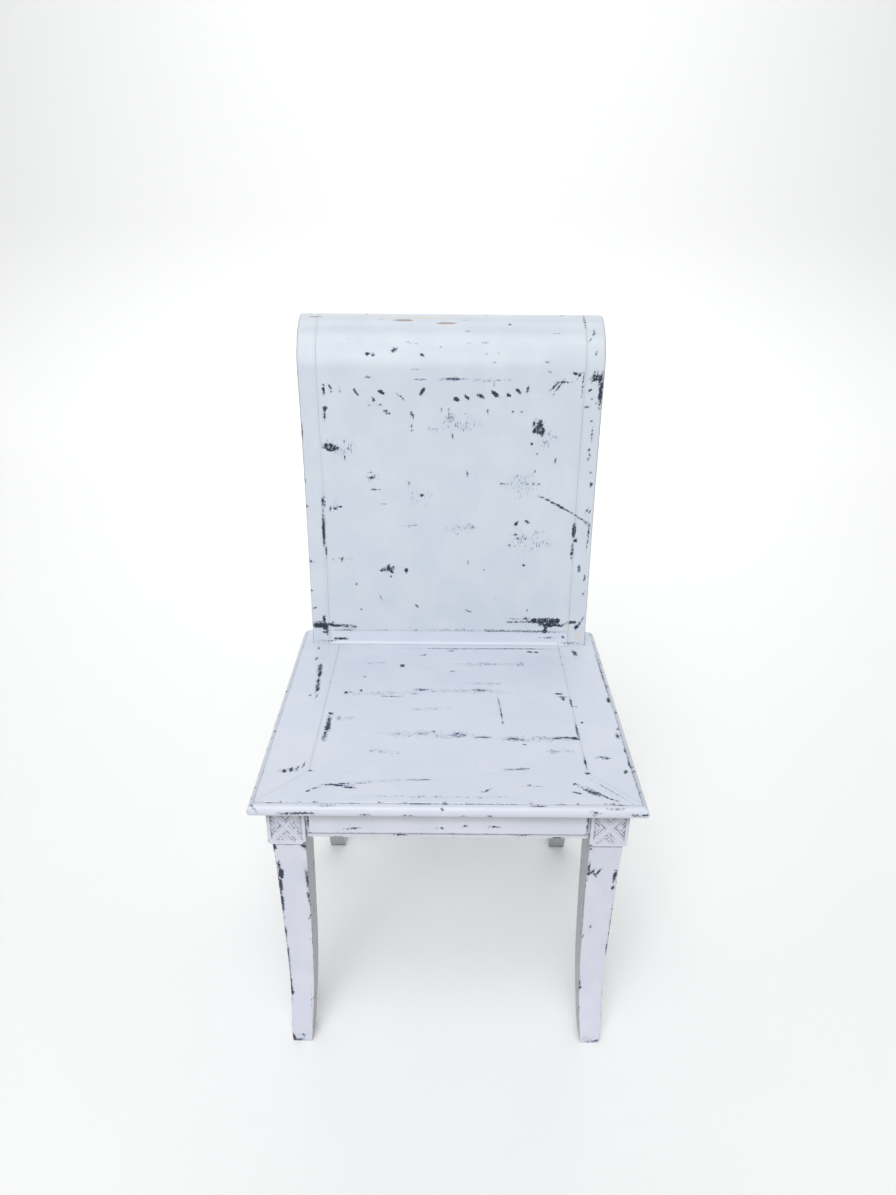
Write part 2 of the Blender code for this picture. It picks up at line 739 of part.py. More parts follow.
def corner_brace(name, side, apron_inside, inward, aprons, rail):
    """A brace across a corner of the frame: it meets the inner face of each of the two aprons.

    apron_inside is the depth of the front or back apron's inner face, and inward is the way
    along Y into the chair from there.
    """
    wall = apron_face_x - APRON_THICKNESS - GAP
    start = apron_inside + inward * GAP
    far = BRACE_REACH + BRACE_THICKNESS * math.sqrt(2)
    top = apron_top
    low = top - BRACE_HEIGHT
    outline = [(BRACE_REACH, 0), (far, 0), (0, far), (0, BRACE_REACH)]

    def place(along, off, end):
        return Vector((side * (wall - along), start + inward * off, top if end > 0 else low))

    brace = moulding(name, outline, place, BARE_WOOD)
    across = (BRACE_REACH + far) / 2
    middle = (top + low) / 2
    pocket = BRACE_THICKNESS
    end_apron, side_apron_piece = aprons
    add_screw(name + "_end_screw", (side * (wall - across), start + inward * SCREW_SEATING, middle),
              (0, -inward, 0), (brace, end_apron), pocket)
    add_screw(name + "_side_screw", (side * (wall - SCREW_SEATING), start + inward * across, middle),
              (side, 0, 0), (brace, side_apron_piece), pocket)
    seat_screw_depth = start + inward * (BRACE_REACH - SEAT_SCREW_REACH / 2)
    add_screw(name + "_seat_screw", (side * (wall - SEAT_SCREW_REACH), seat_screw_depth, top - SCREW_SEATING),
              (0, 0, 1), (brace, rail), BRACE_HEIGHT)


def build():
    seat_front_rail()
    rails = {side: seat_side_rail(f"seat_{word}_rail", side) for word, side in (("left", -1), ("right", 1))}
    seat_back_rail()
    seat_boards()
    front = front_apron()
    back = back_apron()
    for word, side in (("left", -1), ("right", 1)):
        flank = side_apron(f"{word}_apron", side)
        front_leg(f"front_{word}_leg", side)
        back_post(f"back_{word}_post", side)
        corner_brace(f"front_{word}_brace", side, FRONT_OVERHANG + APRON_THICKNESS, 1, (front, flank), rails[side])
        corner_brace(f"back_{word}_brace", side, back_apron_front(), -1, (back, flank), rails[side])
    bottom_rail()
    back_panel()
    back_crest()


build()
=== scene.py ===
"""Looks of an old painted chair: pale paint that flakes off a dark undercoat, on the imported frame."""

import math

import bpy
import numpy as np
from mathutils import Matrix, Vector

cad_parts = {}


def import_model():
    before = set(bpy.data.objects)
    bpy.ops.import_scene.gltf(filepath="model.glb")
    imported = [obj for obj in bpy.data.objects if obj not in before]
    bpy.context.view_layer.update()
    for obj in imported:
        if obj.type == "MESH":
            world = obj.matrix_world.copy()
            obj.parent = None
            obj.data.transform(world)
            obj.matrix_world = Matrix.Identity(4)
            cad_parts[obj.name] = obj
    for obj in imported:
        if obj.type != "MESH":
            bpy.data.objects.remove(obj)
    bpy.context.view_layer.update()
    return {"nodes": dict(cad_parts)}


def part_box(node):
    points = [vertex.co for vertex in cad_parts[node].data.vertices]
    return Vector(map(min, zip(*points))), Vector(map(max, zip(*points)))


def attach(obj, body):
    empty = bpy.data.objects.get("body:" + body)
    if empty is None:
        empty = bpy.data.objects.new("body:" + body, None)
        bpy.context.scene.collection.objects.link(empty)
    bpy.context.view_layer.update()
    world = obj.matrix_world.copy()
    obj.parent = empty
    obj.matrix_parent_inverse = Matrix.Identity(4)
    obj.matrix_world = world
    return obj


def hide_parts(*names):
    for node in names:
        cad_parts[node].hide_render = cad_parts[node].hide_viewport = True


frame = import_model()

# Sizes of the frame, in metres

GAP, SEAM = 0.0003, 0.00003
SEAT_TOP, SEAT_UNDER, BOARD_UNDER = 0.466, 0.441, 0.4513
SEAT_HALF, SEAT_DEPTH = 0.246, 0.477
FRONT_RAIL, SIDE_RAIL, BACK_RAIL, REBATE = 0.0725, 0.0665, 0.065, 0.010
BOARD_EDGES = (0.0725, 0.1555, 0.2735, 0.412)
APRON_LOW, APRON_HIGH, APRON_THICK, APRON_FACE_X = 0.391, 0.4407, 0.020, 0.2215
OVERHANG = 0.033
HEAD_INNER, HEAD_OUTER, HEAD_LOW, HEAD_FRONT, HEAD_BACK = 0.1815, 0.2305, 0.382, 0.030, 0.090
CARVING_BORDER, CARVING_DEPTH, CARVING_RIB = 0.0045, 0.0018, 0.20
LEG_OUTER, LEG_STEP = 0.2262, 0.006
LEG_BOW = ((0, 0.0165), (0.06, 0.0165), (0.13, 0.022), (0.22, 0.030), (0.35, 0.031), (0.58, 0.0235),
           (0.80, 0.014), (0.93, 0.006), (1, 0))
BACK_LINE, BACK_LEAN, POST_WIDTH, POST_OUTER, BACK_FLARE = 0.429, 0.038, 0.028, 0.2235, 0.0055
ROLL_START, ROLL_RADIUS, ROLL_TURN = 0.903, 0.072, math.radians(165)
ROLL_THICK, TAIL_THICK, PANEL_THICK = 0.024, 0.016, 0.018
RAIL_TOP, CREST_JOINT = 0.4884, 0.851
HALF_DEPTH = (BACK_LINE + BACK_LEAN + ROLL_RADIUS * (1 - math.cos(ROLL_TURN))) / 2
ROLL_END = ROLL_START + ROLL_RADIUS * ROLL_TURN

# Marks of wear, in millimetres: across, up or back, half length, half width, turn in degrees

BACK_CHIPS = (
    (-191, 874, 6, 2.2, 90), (-181, 878, 4, 1.1, 110), (-179, 871, 1.2, 1.1, 0), (-167, 873, 2.6, 0.9, -60),
    (-143, 871, 5, 1.5, -55), (-104, 871, 5.5, 3, -30), (-117, 860, 4, 1.6, -60), (-43, 872, 6.5, 2.8, 60),
    (8, 861, 4.6, 3, -20), (25, 864, 4.2, 2.2, -40), (45, 866, 5.6, 2.5, -25), (67, 869, 7.5, 3.1, -40),
    (87, 868, 3.6, 2.6, -30), (101, 874, 5.2, 2.2, -45), (115, 876, 4.2, 1.3, 75), (-124, 927, 3.6, 2.2, 10),
    (-116, 926, 2.4, 1.5, 0), (-43, 926, 3, 2, -30), (88, 979, 2.3, 1.8, 0), (-16, 938, 1, 0.9, 0),
    (155, 881, 6.4, 1.2, 45), (161, 879.5, 7.6, 0.8, 57), (166, 887.5, 11, 0.7, 0), (168, 888, 3, 1.2, 20), (209, 876, 2.4, 1.5, 20),
    (206, 851, 2.8, 1.4, 20), (212, 863, 1.2, 1, 0), (219, 856, 1.2, 1, 0), (-190, 846, 3.4, 2.6, 0),
    (-191, 789, 4.2, 2.8, 60), (-184, 790, 3.8, 2.7, 0), (-187, 783, 4.2, 2.4, -20), (-179, 784, 4.2, 2.5, 10),
    (-173, 786, 2.8, 2.1, 0), (127, 825, 4, 1.7, 80), (133, 819, 5.5, 2.1, 70), (137, 823, 5.5, 2.2, 95), (141, 813, 6.5, 2.7, 80),
    (213, 897, 6, 1.2, 80), (218, 897, 6, 1.4, 95), (223, 893, 9, 2.2, 75), (215, 891, 6, 1.4, 0), (225, 872, 20, 2.3, 88),
    (187, 900, 6, 1.5, -10), (192, 898, 5, 1.4, 60), (197.5, 884, 14, 0.8, 90), (-86, 932, 2.6, 1.4, 20), (-82, 934, 1.6, 1, 0),
    (-212, 497, 11, 4.6, 0), (-203, 494.5, 6, 5, 90), (-192, 497.5, 5, 2.8, -30), (-182, 496, 9, 1.9, 0),
    (-166, 495, 8, 0.9, 0), (-155, 494.5, 3.4, 1.7, 0), (139, 507, 5, 4.2, 30), (150, 505.5, 7, 2.2, -15),
    (156, 507.5, 4, 3.0, 0), (167, 505, 5.5, 4.2, 20), (176.5, 507, 4.6, 4.4, 0), (158.5, 493, 6, 2.6, 90),
    (157, 488.5, 5.5, 2.8, 0), (110, 489, 44, 0.7, 0), (115, 504.5, 20, 0.8, 0), (131, 505, 6, 1.4, 0),
    (126, 511.5, 3.4, 1.1, 0), (189, 501.5, 2, 1.3, 0),
   
    (-191, 834, 5, 1.3, 90), (125, 794, 1.6, 1.4, 0), (133, 779, 1, 0.9, 0), (-163, 771, 2.2, 0.9, 90),
    (-122, 740, 3.6, 1.4, 0), (-119, 721, 2.6, 1.1, 0), (-44, 712, 2.6, 2, 10), (-172, 693, 2, 1.6, 0),
    (-180, 690, 2.2, 1.5, 0), (-188, 690, 3.2, 1.1, 90), (-200, 700, 7, 1.3, 90), (-200, 654, 22, 2.4, 90),
    (-197, 622, 6, 1.1, 90), (162, 701, 7, 1.1, -33), (175, 695, 12, 1.5, -30), (188, 688, 9, 1.0, -28),
    (150, 708, 8, 0.9, -22), (208, 676, 9, 0.8, -28), (217, 668, 6, 0.9, -40), (220, 655, 12, 1.0, 88),
    (219, 636, 8, 0.8, 84), (105, 668, 3.8, 2.4, 50), (122, 671, 4.2, 2.0, -20), (197, 657, 11, 2.9, 88),
    (200, 641, 3, 2.6, 0), (195, 630, 3, 1.2, 90), (194, 620, 2.4, 1, 90), (194, 612, 1.6, 0.9, 90),
    (104, 650, 1.9, 1.2, 0), (108, 644, 1.7, 1.2, 0), (95, 633, 1, 0.9, 0), (119.5, 600, 2.4, 2.0, 0),
    (29, 604, 2.4, 1.0, 80), (56, 592, 1, 0.9, 0), (-172, 608, 3, 1.2, 75), (-109, 590, 2.4, 1.7, 0), (-103, 590.5, 5, 0.9, 0), (-90, 596, 1.6, 1.4, 0),
    (-98, 594, 5.4, 3.1, 80), (-93, 588, 3.6, 2.2, -50), (-69.5, 590, 3.6, 3.1, 90),
    (-94, 580, 1.2, 1, 0), (-150, 567, 1.4, 1.2, 0), (-111, 545, 3.2, 1.1, -65), (-52, 530, 3.4, 1.0, -50),
    (31, 523, 2.8, 0.9, -20), (127, 524, 1.5, 1.2, 0), (74, 545, 1, 0.9, 0), (-143, 525, 1.1, 0.9, 0),
    (-204, 508, 6, 2.3, 90), (-190, 502, 1.6, 1.2, 0), (-205, 485, 2.6, 1.4, 0), (-177, 474, 8, 2.0, 0), (-186, 474, 2.4, 1.4, 0),
    (-166, 475, 1.3, 1.1, 0), (164, 499.5, 14, 3.0, 0), (181, 498.5, 8, 1.6, 0), (201.5, 504.5, 8, 2.3, 2),
    (208.5, 496.5, 3.8, 2.9, 30), (214, 503, 8, 1.1, 60), (188, 479, 2, 1, -40), (-219, 526, 3.2, 1.1, 30),
    (-223, 556, 1.6, 1.2, 0), (-222, 604, 2.6, 1, -20), (-225, 694, 2.2, 1.4, 0), (-226, 734, 2.4, 1.2, 90),
    (-227, 808, 9, 1.1, 88), (214, 830, 1.6, 1.2, 0), (217, 750, 1.5, 1.1, 0), (220, 731, 3.4, 1.9, 80),
    (216, 690, 3, 0.9, 60), (220, 688, 3, 0.9, 65), (218, 579, 4.4, 1.3, 85), (217, 553, 2.2, 1, 80),
    (208, 597, 3, 1.1, 90), (-163, 795, 1.8, 0.8, 90), (-60, 837, 2.8, 0.9, 90), (-57, 837, 2.6, 0.8, 90),
    (-59, 820, 1.4, 0.9, 90), (-59, 813, 1.2, 0.9, 0), (3, 805, 3.2, 1.0, 85), (56, 843, 2, 0.8, 90),
    (95, 843, 1.2, 0.9, 0), (107, 843, 1.2, 0.9, 0), (162, 768, 2.8, 0.9, 85), (27, 747, 2, 0.8, 90),
    (79, 731, 1, 0.9, 0), (84, 731, 1, 0.9, 0), (89, 731, 1, 0.9, 0), (121, 731, 1.2, 0.9, 0),
    (130, 731, 1.4, 0.9, 0), (138, 731, 1.9, 1.1, 0), (80, 488.6, 14, 0.7, 0), (-170, 489, 10, 0.6, 0),
    (200, 992, 16, 0.8, 90), (-184, 786.5, 3.4, 1.7, 20), (214, 893.5, 4, 2.0, 40), (217, 892, 5, 2.2, 0), (128, 814, 4.6, 2.6, 70), (138, 812, 5, 2.0, 80),
    (-76, 865, 4.6, 0.8, -45), (-106, 852, 1.8, 0.8, 0), (-123, 851, 1.2, 0.8, 0), (-14, 846, 1.3, 0.8, 90),
    (-3, 846, 1.5, 0.8, 90), (-3, 835, 3, 0.8, 90), (3, 835, 2.5, 0.8, 90), (3, 891.5, 7, 0.8, 0),
)
BACK_CRUMBS = (
    (216, 895, 10, 4, 20), (224, 868, 18, 3.0, 88), (-97, 841, 6, 3.2, -30), (213, 785, 3.4, 1.7, 70), (215, 778, 3.6, 1.9, 100), (212.5, 771, 3, 1.6, 80), (216, 811, 14, 1.5, 88),
    (-210, 498, 15, 6, 0), (-178, 497, 20, 2.4, 0), (158, 507, 26, 5.4, 0), (165, 500, 20, 4, 0), (126, 509, 8, 1.6, 0),
    (104, 510, 9, 1.4, 0), (-98, 592, 11, 4, 0), (150, 488, 36, 1.2, 0), (196, 625, 14, 2, 90), (-200, 676, 18, 1.7, 90),
    (-197, 700, 12, 2, 90), (160, 478, 10, 1.4, 0), (215, 930, 4, 2, 80), (212, 961, 5, 1.7, 70), (-200, 488, 3, 9, 0),
    (-199, 470, 14, 1.4, 0), (198, 469, 16, 1.4, 0), (4, 891, 18, 1.3, 0), (-185, 787, 12, 4.4, 0), (135, 820, 12, 5.6, 80), (-191, 842, 7, 2.2, 80),
)
BACK_RUBS = (
    (5, 891, 12, 3.0, 0), (0, 891, 24, 2.0, 2), (-46, 890, 12, 2.2, 0), (70, 890, 8, 1.4, 5), (-124, 893, 6, 2.2, 0),
    (-54, 905, 9, 1.9, 0), (51, 945, 9, 1.7, 0), (27, 944, 5, 1.2, 0), (52, 928, 4, 1.7, 0), (70, 929, 3.4, 2, 0),
    (158, 961, 8, 1.6, 0), (143, 917, 7, 2.2, 0), (148, 903, 4.4, 2.2, 0), (64, 916, 5, 1.4, 0), (65, 885, 7, 1.2, 85),
    (-84, 933, 8, 4, 20), (-65, 945, 7, 1.2, 0), (-52, 943, 6, 1, 0), (24, 964, 6, 1, 0),
    (21, 990, 6, 1.2, 0), (-106, 989, 6, 1, 0), (-60, 976, 3, 1.2, 0), (-64, 731, 4, 2, 90), (-178, 692, 5, 2.6, 80),
    (-105, 698, 8, 1.3, 0), (-124, 748, 8, 1.2, 0), (-112, 721, 6, 1.5, 0), (104, 744, 4, 1.6, 60), (131, 751, 3, 1.4, 80),
    (13, 651, 3, 1.6, 80), (13, 664, 3, 1.3, 90), (-57, 664, 12, 1.4, 0), (208, 594, 8, 3, 90),
    (212, 968, 5, 2, 80), (206, 950, 4, 1.6, 60),
)
BACK_HAZE = (
    (10, 828, 46, 22, 0), (15, 838, 30, 9, 0), (30, 826, 24, 8, -10), (-27, 816, 12, 9, 0), (-179, 700, 16, 8, 80),
    (-64, 728, 12, 8, 90), (136, 826, 14, 12, 90), (-186, 792, 18, 12, 0), (-84, 933, 12, 6, 20), (165, 690, 12, 7, -50), (-120, 738, 16, 16, 0), (-48, 712, 26, 26, 0), (115, 728, 30, 28, 0), (130, 640, 48, 26, 0),
    (-165, 786, 32, 16, 0), (-176, 608, 26, 4, 0), (-57, 664, 24, 5, 0), (-142, 951, 24, 1.5, 2), (-62, 944, 16, 3, 0),
    (0, 490, 150, 3, 0), (20, 660, 30, 14, 0), (150, 800, 20, 24, 0), (168, 479, 16, 1.8, 0), (191.5, 598, 14, 1.4, 90), (60, 890, 60, 4, 0),
)
BACK_CREAM = ((211, 480, 13, 9, 90), (196, 493, 9, 8, 90), (-60, 1000, 130, 9, 0))
BACK_TAN = ((-72, 988, 18, 3.0, -1), (-7, 981, 20, 2.8, 1), (-205, 998, 14, 2, 0))

SEAT_CHIPS = (
    (-73, 354, 5, 3.5, 90), (6, 337, 3, 1.6, 20), (-129, 318, 1.6, 1.3, 0), (3, 405, 3.6, 1.6, 0),
    (-40, 390, 5, 1.2, 0), (131, 403, 4, 2.4, 0), (142, 402, 3, 2.2, 0), (-199, 326, 9, 2.7, 88),
    (-199, 306, 6, 1.9, 92), (-197, 295, 3, 1.5, 90), (-196, 281, 6, 2.6, 90), (-205, 262, 3, 1.4, 90),
    (-195, 260, 4, 1.0, 80), (-211, 376, 4, 1.8, 90), (-212, 411, 4, 1.2, 90), (-168, 212, 3.4, 2.9, 0),
    (-168, 195, 6, 1.2, 80), (-169, 175, 8, 3.3, 90), (-170, 160, 6, 1.4, 90), (-171, 148, 5, 1.2, 90),
    (-153, 270, 3.4, 2.4, 90), (-146, 272, 2.4, 1.2, 0), (-131, 277, 3.2, 2.0, 90), (-83, 260, 12, 0.8, 0),
    (-38, 280, 6, 1.4, 10), (-52, 268, 3, 1.1, 0), (164, 271, 5.5, 2.2, 0), (169, 256, 4, 2.2, 90),
    (13, 162, 3, 1.4, 0), (21, 158, 2, 1.0, 0), (7, 158, 1.6, 0.9, 0), (-20, 166, 1.6, 1.0, 0), (88, 151, 4, 1.3, 0),
    (82, 148, 2, 1.0, 0), (46, 154, 4, 1.1, 0), (53, 153, 3, 1.1, 0), (173, 152, 4, 3, -20), (160, 154, 7, 1.5, 0),
    (150, 152, 5, 1.3, 0), (98, 148, 5, 1.1, -10), (103, 136, 1.8, 1.2, 0), (75, 222, 32, 0.7, 93),
    (178.5, 170, 17, 1.2, 90), (179.5, 95, 10, 1.2, 90), (179, 71, 3, 1.8, 0), (179, 248, 9, 1.2, 90),
    (188, 192, 2.4, 1.6, 90), (202, 400, 8, 1.2, 95), (206, 398, 6, 1.1, 90), (236, 254, 6, 2.6, 80),
    (236.8, 122, 5, 1.5, 90), (236.8, 94, 6, 1.5, 88), (236.6, 177, 3.4, 1.2, 60), (204, 108, 3, 1.2, 0), (211, 105, 2.4, 1.1, 0),
    (229, 75, 4, 2.4, 70), (185, 235, 1.8, 1.2, 0), (-211, 72, 3.8, 2.3, 90), (-203, 75, 5, 2.0, 85),
    (-195.5, 78, 4.4, 1.3, 82), (-188, 86, 3.6, 0.9, 80), (-178, 73, 2, 1.2, 0), (-149, 44, 8, 1.3, 3),
    (-138, 42, 7, 1.5, -3), (-124, 38, 7, 1.9, -3), (-132, 46, 6, 1.1, 8), (-112, 47, 6, 0.6, 4), (-34, 55, 6, 0.7, 4), (-175, 30, 2, 1.5, 0),
    (-167, 36, 4, 0.9, 20), (49, 34, 4, 1.1, 35), (45, 31, 3, 1.0, 0), (89, 79, 10, 0.8, 6), (103, 45, 2, 1, 0),
    (160, 48, 3, 1.6, 0), (158, 31, 2.4, 1.2, 0), (163, 29, 2.4, 1, 0), (172, 36, 7, 0.8, -45), (178, 33, 9, 0.9, -45),
    (184, 32, 9, 0.9, -45), (190, 28, 9, 0.8, -45), (196, 21, 7, 0.8, -35), (204, 17, 6, 0.8, -30),
    (-243, 30, 9, 1.4, 88), (-242, 120, 6, 1.2, 90), (-243, 210, 10, 1.4, 90), (-242, 330, 7, 1.2, 90),
    (242, 40, 8, 1.4, 90), (242, 150, 9, 1.2, 90), (241, 300, 12, 1.5, 90), (243, 390, 7, 1.2, 90),
    (100, 414, 52, 1.0, 0), (0, 413, 30, 0.6, 0), (-111, 468, 30, 1.2, 0), (70, 470, 20, 1.1, 0),
)
SEAT_CRUMBS = (
    (-201, 345, 14, 3.4, 92), (-198, 290, 26, 2.6, 93), (-168, 184, 24, 3.2, 94), (166, 153, 11, 2.6, -3),
    (-38, 280, 9, 2.2, 0), (50, 279, 16, 1.5, 0), (236, 254, 9, 4, 88), (204, 400, 9, 3, 90), (237.2, 330, 90, 1.3, 90), (237.2, 100, 90, 1.0, 90),
    (-242, 260, 40, 1.8, 90), (-242, 90, 30, 1.8, 90), (-70, 466, 60, 1.6, 0), (90, 466, 60, 1.6, 0), (206, 32, 26, 0.9, 132),
    (60, 414, 110, 0.9, 0), (232.5, 159, 6, 2.2, 85),
)
SEAT_RUBS = (
    (14, 160, 17, 11, 0), (88, 150, 15, 10, 0), (162, 152, 22, 6, -2), (46, 153, 18, 5, 0), (-202, 340, 24, 6, 92),
    (-198, 300, 26, 5, 94), (-168, 184, 28, 6, 94), (-169, 148, 14, 6, 90), (181, 30, 13, 5, -40), (232.5, 160, 12, 5, 88),
    (-134, 42, 26, 3.4, 0), (74, 361, 6, 5, 0), (204, 398, 12, 4, 90), (167, 262, 12, 5, 0),
)
SEAT_HAZE = (
    (-20, 160, 84, 13, 0), (-60, 160, 50, 10, 0), (120, 150, 64, 10, 0), (-93, 119, 16, 7, 0), (-75, 115, 16, 5, 0),
    (-90, 270, 72, 8, 4), (-38, 280, 26, 6, 0), (52, 281, 34, 6, 0), (20, 276, 100, 7, -2), (112, 361, 24, 9, 0),
    (62, 361, 66, 9, 0), (-72, 53, 72, 4, 4), (90, 80, 28, 5, 5), (205, 106, 14, 6, 0), (-30, 225, 44, 5, 5),
    (40, 410, 90, 3, 0), (0, 20, 150, 3, 0), (110, 42, 24, 2, -3), (-120, 362, 28, 6, 0), (-150, 440, 20, 8, 0),
    (-206, 75, 24, 6, 8), (150, 120, 30, 8, 0), (-150, 200, 24, 12, 0), (60, 300, 40, 5, 0),
)
SEAT_CREAM = ((0, 462, 180, 10, 0), (-205, 455, 20, 10, 90), (205, 450, 20, 12, 90))

NOSE_CHIPS = (
    (-36, -1, 24, 1.7, 0), (-3, -1, 4, 2.0, 0), (38, -1, 26, 1.1, 0), (78, -1, 12, 1.2, 0), (-7, 8, 1.9, 1.6, 0),
    (-103, 16, 4, 1.2, 0), (-54, 17, 2.6, 1.2, 0), (-46, 17.5, 2.6, 1.2, 0), (19, 17.5, 3, 1.1, 0), (51, 17, 2.6, 1.2, 0),
    (-240, 5, 6, 0.9, 50), (240, 14, 5, 1.4, 0), (232, 15, 4, 1.2, 0), (226, 13, 2, 1.0, 0), (179, 10, 3.6, 0.8, 10),
    (182, 12, 2.6, 0.8, 100), (180, 14.5, 2.4, 0.8, 10), (-184, 14.5, 17, 1.2, 0), (-176, 14, 10, 0.9, 0), (-197, 15.5, 7, 0.9, 0),
    (-120, -1, 9, 1.0, 0),
    (140, -1, 8, 1.3, 0), (-215, -1, 7, 1.2, 0), (212, -1, 9, 1.4, 0), (120, 22, 4, 1.1, 0), (110, 3, 5, 0.8, 0),
    (206, 6, 8, 0.8, 0), (-150, 4, 6, 0.8, 0),
)
NOSE_CRUMBS = ((-36, -1, 40, 1.7, 0), (50, -1, 70, 1.2, 0), (-184, 14.5, 20, 1.8, 0), (-150, -1, 40, 0.9, 0),
               (150, -1, 60, 1.2, 0), (0, 20, 200, 0.8, 0), (232, 14, 9, 2.0, 0))

APRON_CHIPS = ((-122, 406, 6, 1.1, 4), (-8, 407, 2.2, 1.4, 0), (23, 411, 2.6, 1, 10), (59, 410, 5, 0.9, -4),
               (-178, 420, 12, 1.0, 90), (178, 418, 14, 1.0, 90), (-60, 396, 6, 0.9, 0), (96, 397, 8, 0.9, 0),
               (140, 393, 5, 1.1, 0), (-142, 392, 4, 1.2, 0))
APRON_CRUMBS = ((-20, 398, 120, 1.1, 0), (60, 391, 90, 1.4, 0), (-90, 391, 60, 1.3, 0), (150, 430, 20, 2, 0))
APRON_RUBS = ((-15, 407, 5, 2.6, 0), (-47, 407, 5, 1.4, 0), (-32, 407, 4, 1.4, 0), (20, 432, 170, 3, 0))

LEFT_LEG_CHIPS = (
    (-225, 373, 5.6, 3.2, 80), (-187, 376.5, 4.6, 2.4, -40), (-184.5, 374, 4, 1.4, 85),
    (-222, 338, 7, 1.7, 86), (-220.8, 321, 10, 3.7, 88), (-223.2, 300, 12, 2.3, 92), (-223.8, 268, 15, 2.0, 91),
    (-224, 235, 2, 0.9, 90), (-225, 203, 11, 1.7, 88), (-225, 163, 10, 1.5, 88), (-225, 98, 15, 1.7, 90),
    (-224, 84, 4, 2.0, 90), (-187.2, 312, 17, 1.7, 91), (-188, 279, 5, 1.8, 90), (-187.4, 269, 4, 1.1, 90),
    (-188.2, 238, 5, 1.2, 80), (-190, 191, 1.3, 1, 0), (-223.6, 8, 9.5, 1.9, 106), (-215, 2.5, 3, 2.0, 45),
    (-210, 14, 2.6, 1.3, -40),
)
LEFT_LEG_CRUMBS = ((-225, 290, 60, 1.5, 90), (-225, 130, 60, 1.3, 90), (-187, 290, 50, 1.2, 90),
                   (-196.4, 60, 26, 0.9, 90), (-220, 4, 9, 2.0, 0))
RIGHT_LEG_CHIPS = (
    (185.5, 374, 1.7, 1.3, 0), (186.3, 334, 12, 1.2, 90), (187, 326, 5, 1.9, 80), (190.2, 328, 5, 1.2, 55),
    (194, 325.5, 6, 1.4, -62), (199.6, 328.5, 5.5, 1.5, 60), (186.2, 312, 1.4, 0.9, 90), (222, 321, 11, 2.1, 86),
    (222, 298, 3.6, 1.7, 85), (225.4, 177, 11, 1.4, 90), (225.6, 245, 4, 1.0, 90), (198.5, 220, 1.8, 1.2, 90),
    (189.6, 200, 2.4, 0.8, 80), (192.6, 104, 6, 1.1, 90), (193.2, 97, 3.4, 1.5, 80), (221.5, 5.5, 5, 1.6, 12),
    (209, 3, 1.6, 0.9, 60),
)
RIGHT_LEG_CRUMBS = ((225.6, 225, 50, 1.3, 90), (192.6, 105, 14, 1.3, 90), (220, 5, 7, 2.0, 8))


def scatter(seed, across, along, count, size):
    """Marks strewn by chance over a face, mostly small, with a few long ones."""
    pick = np.random.default_rng(seed)
    long = size * pick.gamma(1.6, 0.6, count) + 0.8
    wide = np.minimum(long, size * pick.uniform(0.25, 0.6, count) + 0.4)
    return list(zip(pick.uniform(*across, count), pick.uniform(*along, count), long, wide, pick.normal(80, 30, count)))


def marked(u, v, facing, marks):
    """Millimetres inside the nearest mark: half width times (1 - r), with r the distance in an ellipse."""
    best = np.full(u.shape, -6.0)
    for across, along, long, wide, turn in marks:
        reach = long + 7
        near = (np.abs(u - across) < reach) & (np.abs(v - along) < reach) & facing
        if not near.any():
            continue
        c, s = math.cos(math.radians(turn)), math.sin(math.radians(turn))
        du, dv = u[near] - across, v[near] - along
        ring = np.hypot((du * c + dv * s) / long, (dv * c - du * s) / wide)
        best[near] = np.maximum(best[near], wide * (1 - ring))
    return np.minimum(best, 1.3)


def crumbled(u, v, facing, marks):
    """Marks broken up into crumbs: the field stays so low that the paint's noise decides."""
    return np.minimum(marked(u, v, facing, marks) - 0.7, 0.3)


def haze(u, v, facing, marks):
    """Thin paint, 1 - r^2 inside each mark."""
    best = np.zeros(u.shape)
    for across, along, long, wide, turn in marks:
        c, s = math.cos(math.radians(turn)), math.sin(math.radians(turn))
        near = (np.abs(u - across) < long) & (np.abs(v - along) < long) & facing
        du, dv = u[near] - across, v[near] - along
        ring = np.hypot((du * c + dv * s) / long, (dv * c - du * s) / wide)
        best[near] = np.maximum(best[near], 1 - ring * ring)
    return best


def ripple(points, size):
    """Unevenness from 0 to 1: sin(x + 1.3 sin 0.7z) + sin(1.1y + 1.7 sin 0.6x) + sin(0.9z + 1.1 sin 0.8y)."""
    x, y, z = (points[..., i] * (2 * math.pi / size) for i in range(3))
    wave = np.sin(x + 1.3 * np.sin(0.7 * z + 0.4)) + np.sin(1.1 * y + 1.7 * np.sin(0.6 * x))
    return 0.5 + (wave + np.sin(0.9 * z + 1.1 * np.sin(0.8 * y))) / 6


def smooth(low, high, value):
    share = np.clip((value - low) / (high - low), 0, 1)
    return share * share * (3 - 2 * share)


# Surfaces

